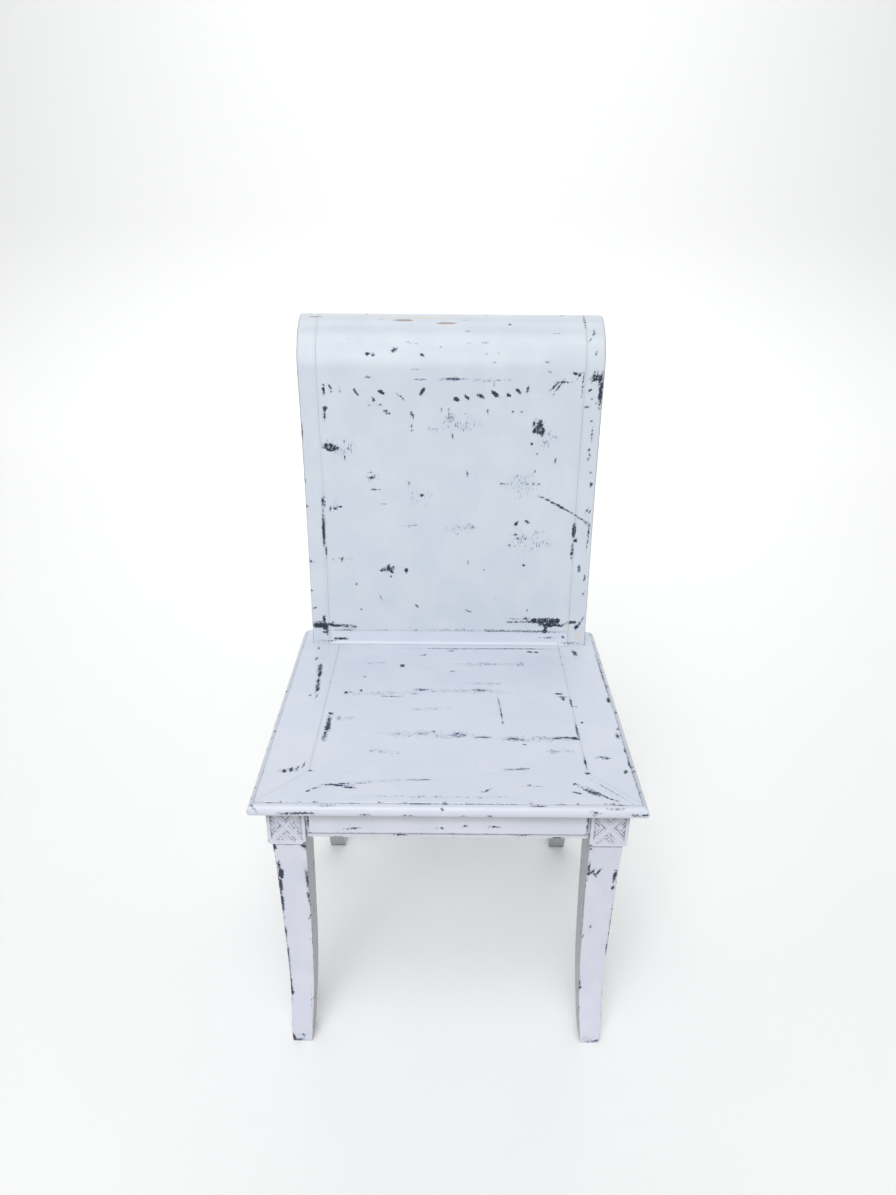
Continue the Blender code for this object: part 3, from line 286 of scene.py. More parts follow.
def section(*corners):
    """Closed outline, interior on the left, from corners (a, b, radius, step, kind).

    Each corner of turn w becomes an arc that starts r tan(w/2) before it. The run after the corner
    is cut into pieces of one step. Kind "arris" or "joint" says what to measure distances from.
    """
    at = np.array([corner[:2] for corner in corners], float)
    count = len(corners)
    arcs = []
    for i, (_, _, radius, _, _) in enumerate(corners):
        into, out = at[i] - at[i - 1], at[(i + 1) % count] - at[i]
        into, out = into / np.linalg.norm(into), out / np.linalg.norm(out)
        turn = math.atan2(into[0] * out[1] - into[1] * out[0], into @ out)
        start = at[i] - into * radius * math.tan(abs(turn) / 2)
        bend = math.copysign(radius, turn)
        centre = start + bend * np.array([-into[1], into[0]])
        arc = []
        for share in np.linspace(0, 1, max(2, round(abs(turn) / 0.28)) + 1):
            c, s = math.cos(turn * share), math.sin(turn * share)
            normal = np.array([into[0] * s + into[1] * c, into[1] * s - into[0] * c])
            arc.append((centre + bend * normal, normal))
        arcs.append(arc)
    rows, spots = [], {"arris": [], "joint": []}
    travelled = 0.0
    for i, arc in enumerate(arcs):
        length = sum(np.linalg.norm(b[0] - a[0]) for a, b in zip(arc, arc[1:]))
        if corners[i][4] in spots:
            spots[corners[i][4]].append(travelled + length / 2)
        walked = travelled
        for j, (point, normal) in enumerate(arc):
            if j:
                walked += np.linalg.norm(point - arc[j - 1][0])
            rows.append((*point, *normal, walked))
        travelled += length
        here, there = arc[-1][0], arcs[(i + 1) % count][0][0]
        run = np.linalg.norm(there - here)
        if run < 1e-6:
            rows.pop()
            continue
        steps = max(1, math.ceil(run / corners[i][3]))
        direction = (there - here) / run
        for j in range(1, steps):
            rows.append((*(here + direction * run * j / steps), direction[1], -direction[0],
                         travelled + run * j / steps))
        travelled += run
    a, b, na, nb, girth = np.array(rows).T
    made = {"a": a, "b": b, "na": na, "nb": nb, "girth": girth}
    for kind, places in spots.items():
        far = [np.minimum(np.abs(girth - p), travelled - np.abs(girth - p)) for p in places]
        made[kind] = np.min(far, axis=0) if far else np.full(len(a), 0.05)
    return made


def shell(sec, run, place, wear, ends=(None, None), grain="run", ease=0.0):
    """Tube of one section moved along a run: P(i, t) = place(a_i - n_i sunk, b_i - n_i sunk, t).

    The paint's chips are sunk 0.25 mm, and arrises are worn unevenly.
    """
    if not ease:
        run = np.insert(run, (1, len(run) - 1), (run[0] + 0.0001, run[-1] - 0.0001))
    t = run[:, None] + 0 * sec["a"]
    a, b = sec["a"] + 0 * t, sec["b"] + 0 * t
    rest = place(a, b, t)
    arris, joint = sec["arris"] + 0 * t, sec["joint"] + 0 * t
    for end, position in zip(ends, (run[0], run[-1])):
        if end == "joint":
            joint = np.minimum(joint, np.abs(t - position))
        elif end == "arris":
            arris = np.minimum(arris, np.abs(t - position))
    fields = {"chip": np.full(t.shape, -6.0), "rub": 0 * t, "cream": 0 * t, "tan": 0 * t,
              "carved": 0 * t, "soot": 0 * t}
    fields.update(wear(rest, sec, t))
    fields["arris"], fields["joint"] = arris * 1000, joint * 1000
    sunk = 0.00025 * smooth(-0.4, 0.7, fields["chip"]) + 0.00010 * ripple(rest, 0.09)
    sunk += 0.0005 * smooth(0.55, 0.95, ripple(rest, 0.021)) * np.exp(-fields["arris"] / 1.6)
    if ease:
        off = np.clip(ease - np.abs(t - run[0]), 0, ease)
        sunk += ease - np.sqrt(ease * ease - off * off)
    points = place(a - sec["na"] * sunk, b - sec["nb"] * sunk, t)
    girth = sec["girth"] + 0 * t
    lines = (t, girth) if grain == "run" else (girth, t)
    fields["grain"] = np.stack([*lines, 0 * t], -1)
    return tube(points, fields)


def tube(points, fields):
    rows, cols = points.shape[:2]
    index = np.arange(rows * cols).reshape(rows, cols)
    after = np.roll(index, -1, axis=1)
    quads = np.stack([index[:-1], after[:-1], after[1:], index[1:]], -1).reshape(-1, 4)
    caps = [index[0][::-1].tolist(), index[-1].tolist()]
    return {"points": points.reshape(-1, 3), "quads": quads, "caps": caps,
            "fields": {name: field.reshape(rows * cols, -1) for name, field in fields.items()}}


def outward(made):
    """Turn the faces over where the volume inside them comes out negative."""
    p, q = made["points"], made["quads"]
    p = p - p.mean(axis=0)
    volume = 0.0
    for i, j, k in ((0, 1, 2), (0, 2, 3)):
        volume += np.einsum("ij,ij->", p[q[:, i]], np.cross(p[q[:, j]], p[q[:, k]]))
    if volume < 0:
        made["quads"] = q[:, ::-1]
        made["caps"] = [cap[::-1] for cap in made["caps"]]


def piece(node, shells, material):
    """One mesh from closed shells, shown in place of its frame node."""
    offset, points, faces, smoothed = 0, [], [], []
    for made in shells:
        outward(made)
        points.append(made["points"])
        faces += (made["quads"] + offset).tolist() + [[i + offset for i in cap] for cap in made["caps"]]
        smoothed += [True] * len(made["quads"]) + [False] * len(made["caps"])
        offset += len(made["points"])
    mesh = bpy.data.meshes.new(node + "_paint")
    mesh.from_pydata(np.concatenate(points).tolist(), [], faces)
    mesh.polygons.foreach_set("use_smooth", smoothed)
    for name in shells[0]["fields"]:
        values = np.concatenate([made["fields"][name] for made in shells]).astype(np.float32)
        if name == "grain":
            mesh.attributes.new(name, "FLOAT_VECTOR", "POINT").data.foreach_set("vector", values.ravel())
        else:
            mesh.attributes.new(name, "FLOAT", "POINT").data.foreach_set("value", values.ravel())
    mesh.materials.append(material)
    made = bpy.data.objects.new(node + "_paint", mesh)
    bpy.context.scene.collection.objects.link(made)
    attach(made, "root")
    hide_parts(node)


def world(x, depth, height):
    x, depth, height = np.broadcast_arrays(x, depth, height)
    return np.stack([x, depth - HALF_DEPTH, height], -1)


def steps(low, high, size):
    return np.linspace(low, high, max(2, math.ceil(abs(high - low) / size) + 1))


# Materials

class Tree:
    """Short ways to add and join shader nodes."""

    def __init__(self, name):
        self.material = bpy.data.materials.new(name)
        self.material.use_nodes = True
        self.nodes = self.material.node_tree.nodes
        self.links = self.material.node_tree.links
        self.shader = self.nodes["Principled BSDF"]
        self.place = self.nodes.new("ShaderNodeTexCoord").outputs["Object"]

    def join(self, value, socket):
        if isinstance(value, bpy.types.NodeSocket):
            self.links.new(value, socket)
        else:
            socket.default_value = value

    def math(self, operation, first, second=0.0, clamp=False):
        node = self.nodes.new("ShaderNodeMath")
        node.operation, node.use_clamp = operation, clamp
        self.join(first, node.inputs[0])
        self.join(second, node.inputs[1])
        return node.outputs[0]

    def noise(self, scale, detail=2.0, place=None, roughness=0.5):
        node = self.nodes.new("ShaderNodeTexNoise")
        self.join(place or self.place, node.inputs["Vector"])
        for name, value in (("Scale", scale), ("Detail", detail), ("Roughness", roughness)):
            node.inputs[name].default_value = value
        return node.outputs["Fac"]

    def stretched(self, place, scale):
        node = self.nodes.new("ShaderNodeVectorMath")
        node.operation = "MULTIPLY"
        self.join(place, node.inputs[0])
        node.inputs[1].default_value = scale
        return node.outputs[0]

    def field(self, name, output="Fac"):
        node = self.nodes.new("ShaderNodeAttribute")
        node.attribute_name = name
        return node.outputs[output]

    def step(self, value, low, high, to_low=0.0, to_high=1.0):
        node = self.nodes.new("ShaderNodeMapRange")
        node.interpolation_type = "SMOOTHSTEP"
        for socket, given in zip(node.inputs, (value, low, high, to_low, to_high)):
            self.join(given, socket)
        return node.outputs[0]

    def mix(self, share, first, second):
        node = self.nodes.new("ShaderNodeMix")
        node.data_type = "RGBA"
        self.join(share, node.inputs["Factor"])
        self.join(first, node.inputs[6])
        self.join(second, node.inputs[7])
        return node.outputs[2]

    def sum(self, *values):
        total = values[0]
        for value in values[1:]:
            total = self.math("ADD", total, value)
        return total

    def times(self, first, second):
        return self.math("MULTIPLY", first, second)

    def centred(self, value, amount):
        return self.times(self.math("SUBTRACT", value, 0.5), amount)


def srgb(red, green, blue):
    """A colour from 0 to 255 as linear red, green, blue and alpha."""
    parts = [value / 255 for value in (red, green, blue)]
    return tuple(p / 12.92 if p < 0.04045 else ((p + 0.055) / 1.055) ** 2.4 for p in parts) + (1.0,)


def paint(name, colour, cooler, wear, seams, grime_and_shade):
    """Pale paint over a dark undercoat: it is off where chip + noise > 0, in millimetres."""
    tree = Tree(name)
    fine, middle, broad = tree.noise(1000, 3, roughness=0.65), tree.noise(360, 3, roughness=0.6), tree.noise(18, 3)
    patches = tree.noise(75, 4, roughness=0.6)
    grain = tree.field("grain", "Vector")
    streaks = tree.noise(1, 3, tree.stretched(grain, (120, 800, 1)))
    flecks = tree.noise(1, 3, tree.stretched(grain, (170, 480, 1)), 0.6)
    wide_streaks = tree.noise(1, 3, tree.stretched(grain, (9, 130, 1)))
    inside = tree.sum(tree.field("chip"), tree.centred(fine, 4.0), tree.centred(middle, 6.0))
    chipped = tree.step(inside, -0.12, 0.12)
    rubbed = tree.sum(tree.field("rub"), tree.step(tree.field("chip"), -4.0, 0.0, 0.0, 0.2))
    worn = tree.sum(tree.centred(patches, 9.0), tree.centred(middle, 5.0), tree.centred(fine, 2.0), wear)
    bared = tree.step(tree.math("SUBTRACT", worn, tree.field("arris")), -0.15, 0.15)
    seam = tree.sum(tree.centred(patches, 5.0), tree.centred(middle, 2.0), -0.75)
    cracked = tree.step(tree.math("SUBTRACT", seam, tree.field("joint")), -0.1, 0.15)
    specks = tree.step(tree.sum(middle, tree.times(broad, 0.25)), 0.905, 0.925)
    bare = tree.math("MAXIMUM", tree.math("MAXIMUM", chipped, bared), tree.math("MAXIMUM", cracked, specks))
    rim = tree.times(tree.step(inside, -1.0, -0.1), 0.3)
    smear = tree.sum(tree.times(rubbed, 0.42), tree.centred(flecks, 2.3), tree.centred(fine, 0.6),
                     tree.centred(patches, 1.3))
    thin = tree.times(tree.times(tree.step(smear, 0.28, 0.60), tree.step(rubbed, 0.0, 0.3)), 0.8)
    faint = tree.step(tree.sum(rubbed, tree.centred(patches, 1.2), tree.centred(streaks, 0.8)), 0.1, 1.2, 0.0, 0.3)
    # Dark joint lines, and within 6 mm of a joint a darkening that is partly dirt and partly painted shade.
    line = tree.times(tree.step(tree.field("joint"), 0.5, 0.1), tree.step(patches, 0.4, 0.75, seams, 0.5))
    joint_dirt_and_shade = tree.math("MAXIMUM", line, tree.step(tree.field("joint"), 6.0, 0.0, 0.0, grime_and_shade))

    body = tree.mix(tree.step(broad, 0.35, 0.65), colour, cooler)
    body = tree.mix(tree.step(wide_streaks, 0.5, 0.8, 0.0, 0.08), body, srgb(186, 192, 205))
    cream = tree.times(tree.step(tree.sum(tree.field("cream"), tree.centred(patches, 0.8)), 0.15, 1.2), 0.6)
    body = tree.mix(cream, body, srgb(224, 214, 190))
    tan = tree.sum(tree.field("tan"), tree.centred(streaks, 1.2), tree.centred(middle, 0.6))
    body = tree.mix(tree.times(tree.step(tan, 0.1, 0.5), tree.step(tree.field("tan"), 0.0, 0.3, 0.0, 0.85)), body, srgb(154, 132, 120))
    body = tree.mix(joint_dirt_and_shade, body, srgb(112, 112, 110))
    body = tree.mix(faint, body, srgb(150, 166, 198))
    body = tree.mix(thin, body, srgb(84, 102, 138))
    # Painted shade on faces turned from the light, under the seat and on the bullnose, plus dark worn paint along some
    # arrises of the back.
    body = tree.mix(tree.field("soot"), body, srgb(116, 117, 112))
    # Painted shadow under the seat: on apron and leg paints, a darkening by half from 412 mm up to 429 mm.
    if grime_and_shade > 0.2:
        apart = tree.nodes.new("ShaderNodeSeparateXYZ")
        tree.join(tree.place, apart.inputs[0])
        body = tree.mix(tree.step(apart.outputs[2], 0.412, 0.429, 0.0, 0.5), body, srgb(132, 134, 126))
    body = tree.mix(rim, body, srgb(120, 132, 155))
    under = tree.mix(tree.step(middle, 0.35, 0.65), srgb(20, 29, 42), srgb(46, 60, 80))
    # Painted shade, dark blue-grey, in the carving's hollows, under the leg heads and at the apron's ends.
    recess = tree.sum(tree.field("carved"), tree.centred(middle, 1.2), tree.centred(tree.noise(150, 2), 1.6))
    body = tree.mix(tree.times(tree.step(recess, 0.35, 1.05), 0.7), body, srgb(58, 66, 82))
    tree.join(tree.mix(bare, body, under), tree.shader.inputs["Base Color"])
    tree.join(tree.mix(bare, (0.32,) * 3 + (1,), (0.62,) * 3 + (1,)), tree.shader.inputs["Roughness"])
    height = tree.sum(tree.times(bare, -0.22), tree.times(streaks, 0.035), tree.times(wide_streaks, 0.12),
                      tree.times(fine, 0.02), tree.times(patches, 0.10))
    bump = tree.nodes.new("ShaderNodeBump")
    bump.inputs["Distance"].default_value = 0.001
    bump.inputs["Strength"].default_value = 0.8
    tree.join(height, bump.inputs["Height"])
    tree.join(bump.outputs[0], tree.shader.inputs["Normal"])
    return tree.material


def raw_wood():
    tree = Tree("bare_wood")
    rings = tree.noise(1, 4, tree.stretched(tree.place, (40, 40, 420)))
    colour = tree.mix(tree.step(rings, 0.3, 0.7), srgb(176, 142, 102), srgb(128, 96, 66))
    dust = tree.step(tree.noise(60, 3), 0.5, 0.75, 0.0, 0.4)
    tree.join(tree.mix(dust, colour, srgb(196, 184, 166)), tree.shader.inputs["Base Color"])
    tree.shader.inputs["Roughness"].default_value = 0.8
    return tree.material


def dull_steel():
    tree = Tree("screw_steel")
    rust = tree.step(tree.noise(900, 3), 0.45, 0.7)
    tree.join(tree.mix(rust, srgb(150, 148, 142), srgb(112, 70, 44)), tree.shader.inputs["Base Color"])
    tree.join(tree.step(rust, 0, 1, 1, 0.1), tree.shader.inputs["Metallic"])
    tree.join(tree.step(rust, 0, 1, 0.4, 0.8), tree.shader.inputs["Roughness"])
    return tree.material


seat_paint = paint("seat_paint", srgb(218, 223, 234), srgb(214, 220, 233), -0.9, 0.35, 0.05)
back_paint = paint("back_paint", srgb(213, 220, 228), srgb(208, 216, 226), -1.3, 0.10, 0.05)
leg_paint = paint("leg_paint", srgb(213, 214, 226), srgb(206, 208, 222), -0.7, 0.3, 0.25)
apron_paint = paint("apron_paint", srgb(217, 219, 229), srgb(211, 214, 225), -0.8, 0.3, 0.40)


# Seat

def seat_wear(rest, sec, t):
    """Marks of the seat by place on its top, and strewn marks on its underside; nose_wear adds the bullnose's marks."""
    x, depth = rest[..., 0] * 1000, (rest[..., 1] + HALF_DEPTH) * 1000
    top = (sec["nb"] > 0.7) & (sec["b"] > SEAT_TOP - 0.0012) & (t > -9)
    under = (sec["nb"] < -0.9) & (t > -9)
    chip = np.maximum(marked(x, depth, top, SEAT_CHIPS), crumbled(x, depth, top, SEAT_CRUMBS))
    chip = np.maximum(chip, marked(x, depth, under, UNDER_MARKS))
    return {"chip": chip, "rub": np.maximum(haze(x, depth, top, SEAT_RUBS), 0.6 * haze(x, depth, top, SEAT_HAZE)),
            "cream": haze(x, depth, top, SEAT_CREAM)}


UNDER_MARKS = scatter(5, (-240, 240), (20, 470), 90, 2.2)


def nose_wear(seed, length):
    strewn = scatter(seed, (0, length), (0, 26), 26, 1.8)

    def wear(rest, sec, t):
        made = seat_wear(rest, sec, t)
        round_edge = (sec["a"] < 0.0087) & (sec["b"] < SEAT_TOP - 0.0008) & (t > -9)
        start = sec["girth"][np.argmax((sec["a"] < 0.0087) & (sec["b"] < SEAT_TOP - 0.0008))]
        down = (sec["girth"] - start) * 1000 + 0 * t
        if seed:
            depth = (rest[..., 1] + HALF_DEPTH) * 1000
            marks = marked(depth, down, round_edge, strewn)
        else:
            x = rest[..., 0] * 1000
            marks = np.maximum(marked(x, down, round_edge, NOSE_CHIPS), crumbled(x, down, round_edge, NOSE_CRUMBS))
        made["chip"] = np.maximum(made["chip"], marks)
        # Painted shade on the bullnose, deepening as it turns under.
        made["soot"] = (0.07 + 0.12 * smooth(8, 20, down)) * round_edge
        return made

    return wear


def rail_section(scale, inner, ledge):
    """A seat rail: bullnose edge under a 2 mm step, flat top, and a ledge for the boards."""
    reach, recess = 0.0085 * scale, 0.0145 * scale
    corners = [(recess, SEAT_UNDER, 0.0008, 0.006, "arris")]
    if ledge:
        corners += [(inner + ledge, SEAT_UNDER, 0.0005, 0.005, None), (inner + ledge, 0.451, 0.0005, 0.005, None),
                    (inner, 0.451, 0.0003, 0.005, None)]
    else:
        corners += [(inner, SEAT_UNDER, 0.0005, 0.005, None)]
    corners += [(inner, SEAT_TOP, 0.00015, 0.0016, "joint" if not ledge else None), (reach, SEAT_TOP, 0.0008, 0.0016, "arris"),
                (reach, 0.464, 0.0003, 0.0016, "joint"), (0, 0.464, 0.0080, 0.0012, None),
                (0, 0.447, 0.0080, 0.0012, None), (recess, 0.447, 0.0005, 0.003, "joint")]
    return section(*corners)


def front_rail():
    slant = SIDE_RAIL / FRONT_RAIL

    def place(a, b, t):
        return world(t * (SEAT_HALF - a * slant - SEAM / 2) / SEAT_HALF, a, b)

    made = shell(rail_section(1, FRONT_RAIL, REBATE), steps(-SEAT_HALF, SEAT_HALF, 0.0017), place,
                 nose_wear(0, 492), ("joint", "joint"))
    piece("seat_front_rail", [made], seat_paint)


def side_rail(word, side):
    slant = FRONT_RAIL / SIDE_RAIL
    scale = SIDE_RAIL / FRONT_RAIL
    shells = []

    def mitred(a, b, t):
        start, end = a * slant + SEAM / 2, back_face(b) - GAP
        return world(side * (SEAT_HALF - a), start + (end - start) * t / BACK_LINE, b)

    shells.append(shell(rail_section(scale, SIDE_RAIL, 0), steps(0, BACK_LINE, 0.0018), mitred,
                        nose_wear(11 + side, 430), ("joint", "joint")))

    def ear(a, b, t):
        start = back_face(b) - GAP
        return world(side * (SEAT_HALF - a), start + (SEAT_DEPTH - start) * t, b)

    outer_width = SEAT_HALF - POST_OUTER - GAP
    shells.append(shell(rail_section(scale, outer_width, 0), steps(0, 1, 0.04), ear, nose_wear(17 + side, 477)))
    near, far = SEAT_HALF - (POST_OUTER - POST_WIDTH - GAP), SIDE_RAIL
    block = section((near, SEAT_UNDER, 0.0005, 0.005, None), (far, SEAT_UNDER, 0.0005, 0.005, None),
                    (far, SEAT_TOP, 0.00015, 0.0016, "joint"), (near, SEAT_TOP, 0.00015, 0.005, "joint"))
    shells.append(shell(block, steps(0, 1, 0.04), ear, seat_wear))
    ledge = section((SIDE_RAIL - 0.0002, SEAT_UNDER, 0.0002, 0.005, None),
                    (SIDE_RAIL + REBATE, SEAT_UNDER, 0.0004, 0.005, None),
                    (SIDE_RAIL + REBATE, 0.451, 0.0004, 0.005, None), (SIDE_RAIL - 0.0002, 0.451, 0.0002, 0.005, None))

    def shelf(a, b, t):
        return world(side * (SEAT_HALF - a), t, b)

    shells.append(shell(ledge, steps(FRONT_RAIL + REBATE + 0.001, 0.4017, 0.01), shelf, seat_wear))
    piece(f"seat_{word}_rail", shells, seat_paint)


def boards():
    half = SEAT_HALF - SIDE_RAIL - SEAM

    def place(a, b, t):
        return world(t, a, b)

    for name, low, high in zip(("front", "middle", "rear"), BOARD_EDGES, BOARD_EDGES[1:]):
        low, high = low + SEAM / 2, high - SEAM / 2
        sec = section((low, BOARD_UNDER, 0.0004, 0.006, None), (high, BOARD_UNDER, 0.0004, 0.006, None),
                      (high, SEAT_TOP, 0.00015, 0.0016, None), (low, SEAT_TOP, 0.00015, 0.006, None))
        made = shell(sec, steps(-half, half, 0.0018), place, seat_wear, ("joint", "joint"))
        piece(f"seat_{name}_board", [made], seat_paint)
    low = SEAT_DEPTH - BACK_RAIL
    sec = section((low - REBATE, SEAT_UNDER, 0.0005, 0.006, None), (SEAT_DEPTH, SEAT_UNDER, 0.0010, 0.005, "arris"),
                  (SEAT_DEPTH, SEAT_TOP, 0.0012, 0.0017, "arris"), (low, SEAT_TOP, 0.00015, 0.006, "joint"),
                  (low, 0.451, 0.0004, 0.006, None), (low - REBATE, 0.451, 0.0005, 0.006, None))
    made = shell(sec, steps(-half, half, 0.0018), place, seat_wear, ("joint", "joint"))
    piece("seat_back_rail", [made], seat_paint)


# Aprons

def apron_section():
    """An apron with a 3 mm half-round bead along its foot, under a small quirk."""
    return section((APRON_THICK, APRON_LOW, 0.0006, 0.006, None), (APRON_THICK, APRON_HIGH, 0.0006, 0.006, None),
                   (0, APRON_HIGH, 0.0006, 0.0016, "joint"), (0, 0.3982, 0.0005, 0.0012, "arris"),
                   (0.003, 0.3982, 0.0003, 0.001, "joint"), (0.003, 0.397, 0.0002, 0.001, "joint"),
                   (0, 0.397, 0.0027, 0.001, None), (0, APRON_LOW, 0.0027, 0.0016, None))


def aprons():
    half = HEAD_INNER - SEAM

    def front_wear(rest, sec, t):
        x, height = rest[..., 0] * 1000, rest[..., 2] * 1000
        face = (sec["na"] < -0.3) & (t > -9)
        chip = np.maximum(marked(x, height, face, APRON_CHIPS), crumbled(x, height, face, APRON_CRUMBS))
        # Painted shade: a dark line at each end of the apron, beside the leg heads.
        return {"chip": chip, "rub": haze(x, height, face, APRON_RUBS),
                "carved": smooth(2.6, 0.8, 1000 * half - np.abs(x))}

    made = shell(apron_section(), steps(-half, half, 0.0018), lambda a, b, t: world(t, OVERHANG + a, b), front_wear,
                 ("joint", "joint"))
    piece("front_apron", [made], apron_paint)
    for word, side in (("left", -1), ("right", 1)):
        strewn = scatter(23 + side, (95, 425), (392, 440), 34, 2.2)

        def side_place(a, b, t):
            start, end = HEAD_BACK + GAP, apron_stop(b) - GAP
            return world(side * (APRON_FACE_X - a), start + (end - start) * t, b)

        def side_wear(rest, sec, t):
            depth = (rest[..., 1] + HALF_DEPTH) * 1000
            return {"chip": marked(depth, rest[..., 2] * 1000, (sec["na"] < -0.3) & (t > -9), strewn)}

        made = shell(apron_section(), steps(0, 1, 0.0055), side_place, side_wear)
        piece(f"{word}_apron", [made], apron_paint)
    low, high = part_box("back_apron")
    start = low[1] + HALF_DEPTH
    half = POST_OUTER - POST_WIDTH - GAP
    strewn = scatter(31, (-190, 190), (392, 440), 40, 2.2)

    def back_wear(rest, sec, t):
        return {"chip": marked(rest[..., 0] * 1000, rest[..., 2] * 1000, (sec["na"] > 0.3) & (t > -9), strewn)}

    sec = section((0, APRON_LOW, 0.0008, 0.005, "arris"), (APRON_THICK, APRON_LOW, 0.0012, 0.0018, "arris"),
                  (APRON_THICK, APRON_HIGH, 0.0008, 0.005, "joint"), (0, APRON_HIGH, 0.0008, 0.005, None))
    made = shell(sec, steps(-half, half, 0.002), lambda a, b, t: world(t, start + a, b), back_wear,
                 ("joint", "joint"))
    piece("back_apron", [made], apron_paint)


def apron_stop(height):
    share = (height - APRON_LOW) / (SEAT_UNDER - APRON_LOW)
    return back_face(APRON_LOW) * (1 - share) + back_face(SEAT_UNDER) * share


# Front legs

def carving(across, up):
    """Height from 0 to 1: ribs 1 - (|a -+ u|/0.2)^4 along the diagonals, with fans of three petals between."""
    rib = np.clip(1 - (np.minimum(np.abs(across - up), np.abs(across + up)) / CARVING_RIB) ** 4, 0, 1)
    out = np.maximum(np.abs(across), np.abs(up))
    sideways = np.minimum(np.abs(across), np.abs(up)) / np.maximum(out, CARVING_RIB)
    sideways = np.copysign(sideways, np.where(np.abs(across) > np.abs(up), up, across))
    length = np.sin(math.pi * np.clip((out - 0.30) / 0.65, 0, 1))
    petals = np.max([1 - ((sideways - middle) / 0.24) ** 2 for middle in (-0.5, 0, 0.5)], axis=0)
    return np.maximum(rib, 0.8 * np.sqrt(np.clip(petals, 0, 1)) * length)


def cut(across, up):
    """The carving with chevrons nested beside its ribs: cos(2 pi d / 0.235), d the distance from a rib."""
    from_rib = np.abs(np.abs(across) - np.abs(up))
    chevrons = 0.5 + 0.5 * np.cos(2 * math.pi * from_rib / 0.235)
    veins = 0.5 + 0.5 * np.cos(2 * math.pi * np.maximum(np.abs(across), np.abs(up)) / 0.21)
    rib = 1 - smooth(0.11, 0.18, from_rib)
    return np.maximum(rib, 0.30 * carving(across, up) + 0.45 * chevrons + 0.10 * veins)


def head(side):
    """Head of a leg: a grid with the carving in front, then rings back from its border to the far end."""
    half_x, half_z = (HEAD_OUTER - HEAD_INNER) / 2, (APRON_HIGH - HEAD_LOW) / 2
    middle = (APRON_HIGH + HEAD_LOW) / 2
    ease = 0.0010

    def spot(u, v, inset, depth):
        """Point of the face: square corners drawn in to arcs by max(|x|, |z|) / r."""
        x, z = u * (half_x - inset), v * (half_z - inset)
        for sx, sz, radius in ((1, -1, 0.0042), (1, 1, 0.0010), (-1, 1, 0.0010), (-1, -1, 0.0010)):
            cx, cz = sx * (half_x - radius), sz * (half_z - radius)
            dx, dz = (x - cx) * sx, (z - cz) * sz
            near = (dx > 0) & (dz > 0)
            pull = np.where(near, np.maximum(dx, dz) / np.maximum(np.hypot(dx, dz), 1e-9), 1)
            x, z = np.where(near, cx + sx * dx * pull, x), np.where(near, cz + sz * dz * pull, z)
        return world(side * (HEAD_INNER + half_x + x), depth, middle + z)

    u, v = np.meshgrid(np.linspace(-1, 1, 123), np.linspace(-1, 1, 147))
    field_u = u * (half_x - ease) / (half_x - CARVING_BORDER)
    field_v = v * (half_z - ease) / (half_z - CARVING_BORDER)
    edge = np.maximum(np.abs(field_u), np.abs(field_v))
    low = np.where(edge < 1, 1 - cut(field_u, field_v), 0)
    low *= smooth(1.0, 0.975, edge)
    front = spot(u, v, ease, HEAD_FRONT + CARVING_DEPTH * low)
    rows, cols = u.shape
    index = np.arange(rows * cols).reshape(rows, cols)
    border = np.concatenate([index[0, :-1], index[:-1, -1], index[-1, :0:-1], index[:0:-1, 0]])
    rings, arris = [], []
    edge_u, edge_v = u.ravel()[border], v.ravel()[border]
    for turn in np.linspace(0, math.pi / 2, 5)[1:]:
        rings.append(spot(edge_u, edge_v, ease * (1 - math.sin(turn)), HEAD_FRONT + ease * (1 - math.cos(turn))))
        arris.append(0.2)
    for depth in steps(HEAD_FRONT + ease, HEAD_BACK, 0.0022)[1:]:
        rings.append(spot(edge_u, edge_v, 0, depth))
        arris.append((depth - HEAD_FRONT) * 1000)
    count = len(border)
    points = np.concatenate([front.reshape(-1, 3)] + rings)
    quads = [np.stack([index[:-1, :-1], index[:-1, 1:], index[1:, 1:], index[1:, :-1]], -1).reshape(-1, 4)]
    ring = border
    for i in range(len(rings)):
        following = rows * cols + i * count + np.arange(count)
        quads.append(np.stack([np.roll(ring, -1), ring, following, np.roll(following, -1)], -1))
        ring = following
    edge_x, edge_z = np.abs(edge_u) * half_x, np.abs(edge_v) * half_z
    from_corner = 1000 * np.maximum(half_x - edge_x, half_z - edge_z)
    flat_arris = 1000 * np.minimum((1 - np.abs(u)) * half_x, (1 - np.abs(v)) * half_z)
    fields = {name: np.full(len(points), value) for name, value in
              (("chip", -6.0), ("rub", 0.0), ("cream", 0.0), ("tan", 0.0), ("joint", 40.0), ("soot", 0.0))}
    # Painted shade on the head's inner side, beside the apron.
    fields["soot"] = 0.4 * smooth(HEAD_INNER + 0.0008, HEAD_INNER, side * points[:, 0])
    # Painted shade in the carving's hollows and along its border.
    frame_line = np.where(np.abs(field_u) > np.abs(field_v), 0.75, 0.45) * smooth(1.1, 0.7, np.minimum(np.abs(field_u), np.abs(field_v)))
    carved = np.where((edge > 0.93) & (edge < 1.02), frame_line, smooth(0.3, 0.85, low) * np.where(edge < 1, 0.85, 0))
    fields["carved"] = np.concatenate([carved.ravel(), np.zeros(count * len(rings))])
    fields["arris"] = np.concatenate([flat_arris.ravel()] + [np.minimum(a, from_corner) for a in arris]) + 0.7
    heights = points[:, 2]
    fields["joint"] = np.minimum((APRON_HIGH - heights) * 1000, 40)
    spots = ((side * 183, 384, 2.4, 1.0, 10), (side * 229, 432, 4, 1.0, 90))
    facing = np.ones(len(points), bool)
    fields["chip"] = np.maximum(fields["chip"], marked(points[:, 0] * 1000, heights * 1000, facing, spots))
    fields["grain"] = np.stack([heights, points[:, 0] + points[:, 1], 0 * heights], -1)
    return {"points": points, "quads": np.concatenate(quads), "caps": [ring[::-1].tolist()],
            "fields": {name: field.reshape(len(points), -1) for name, field in fields.items()}}


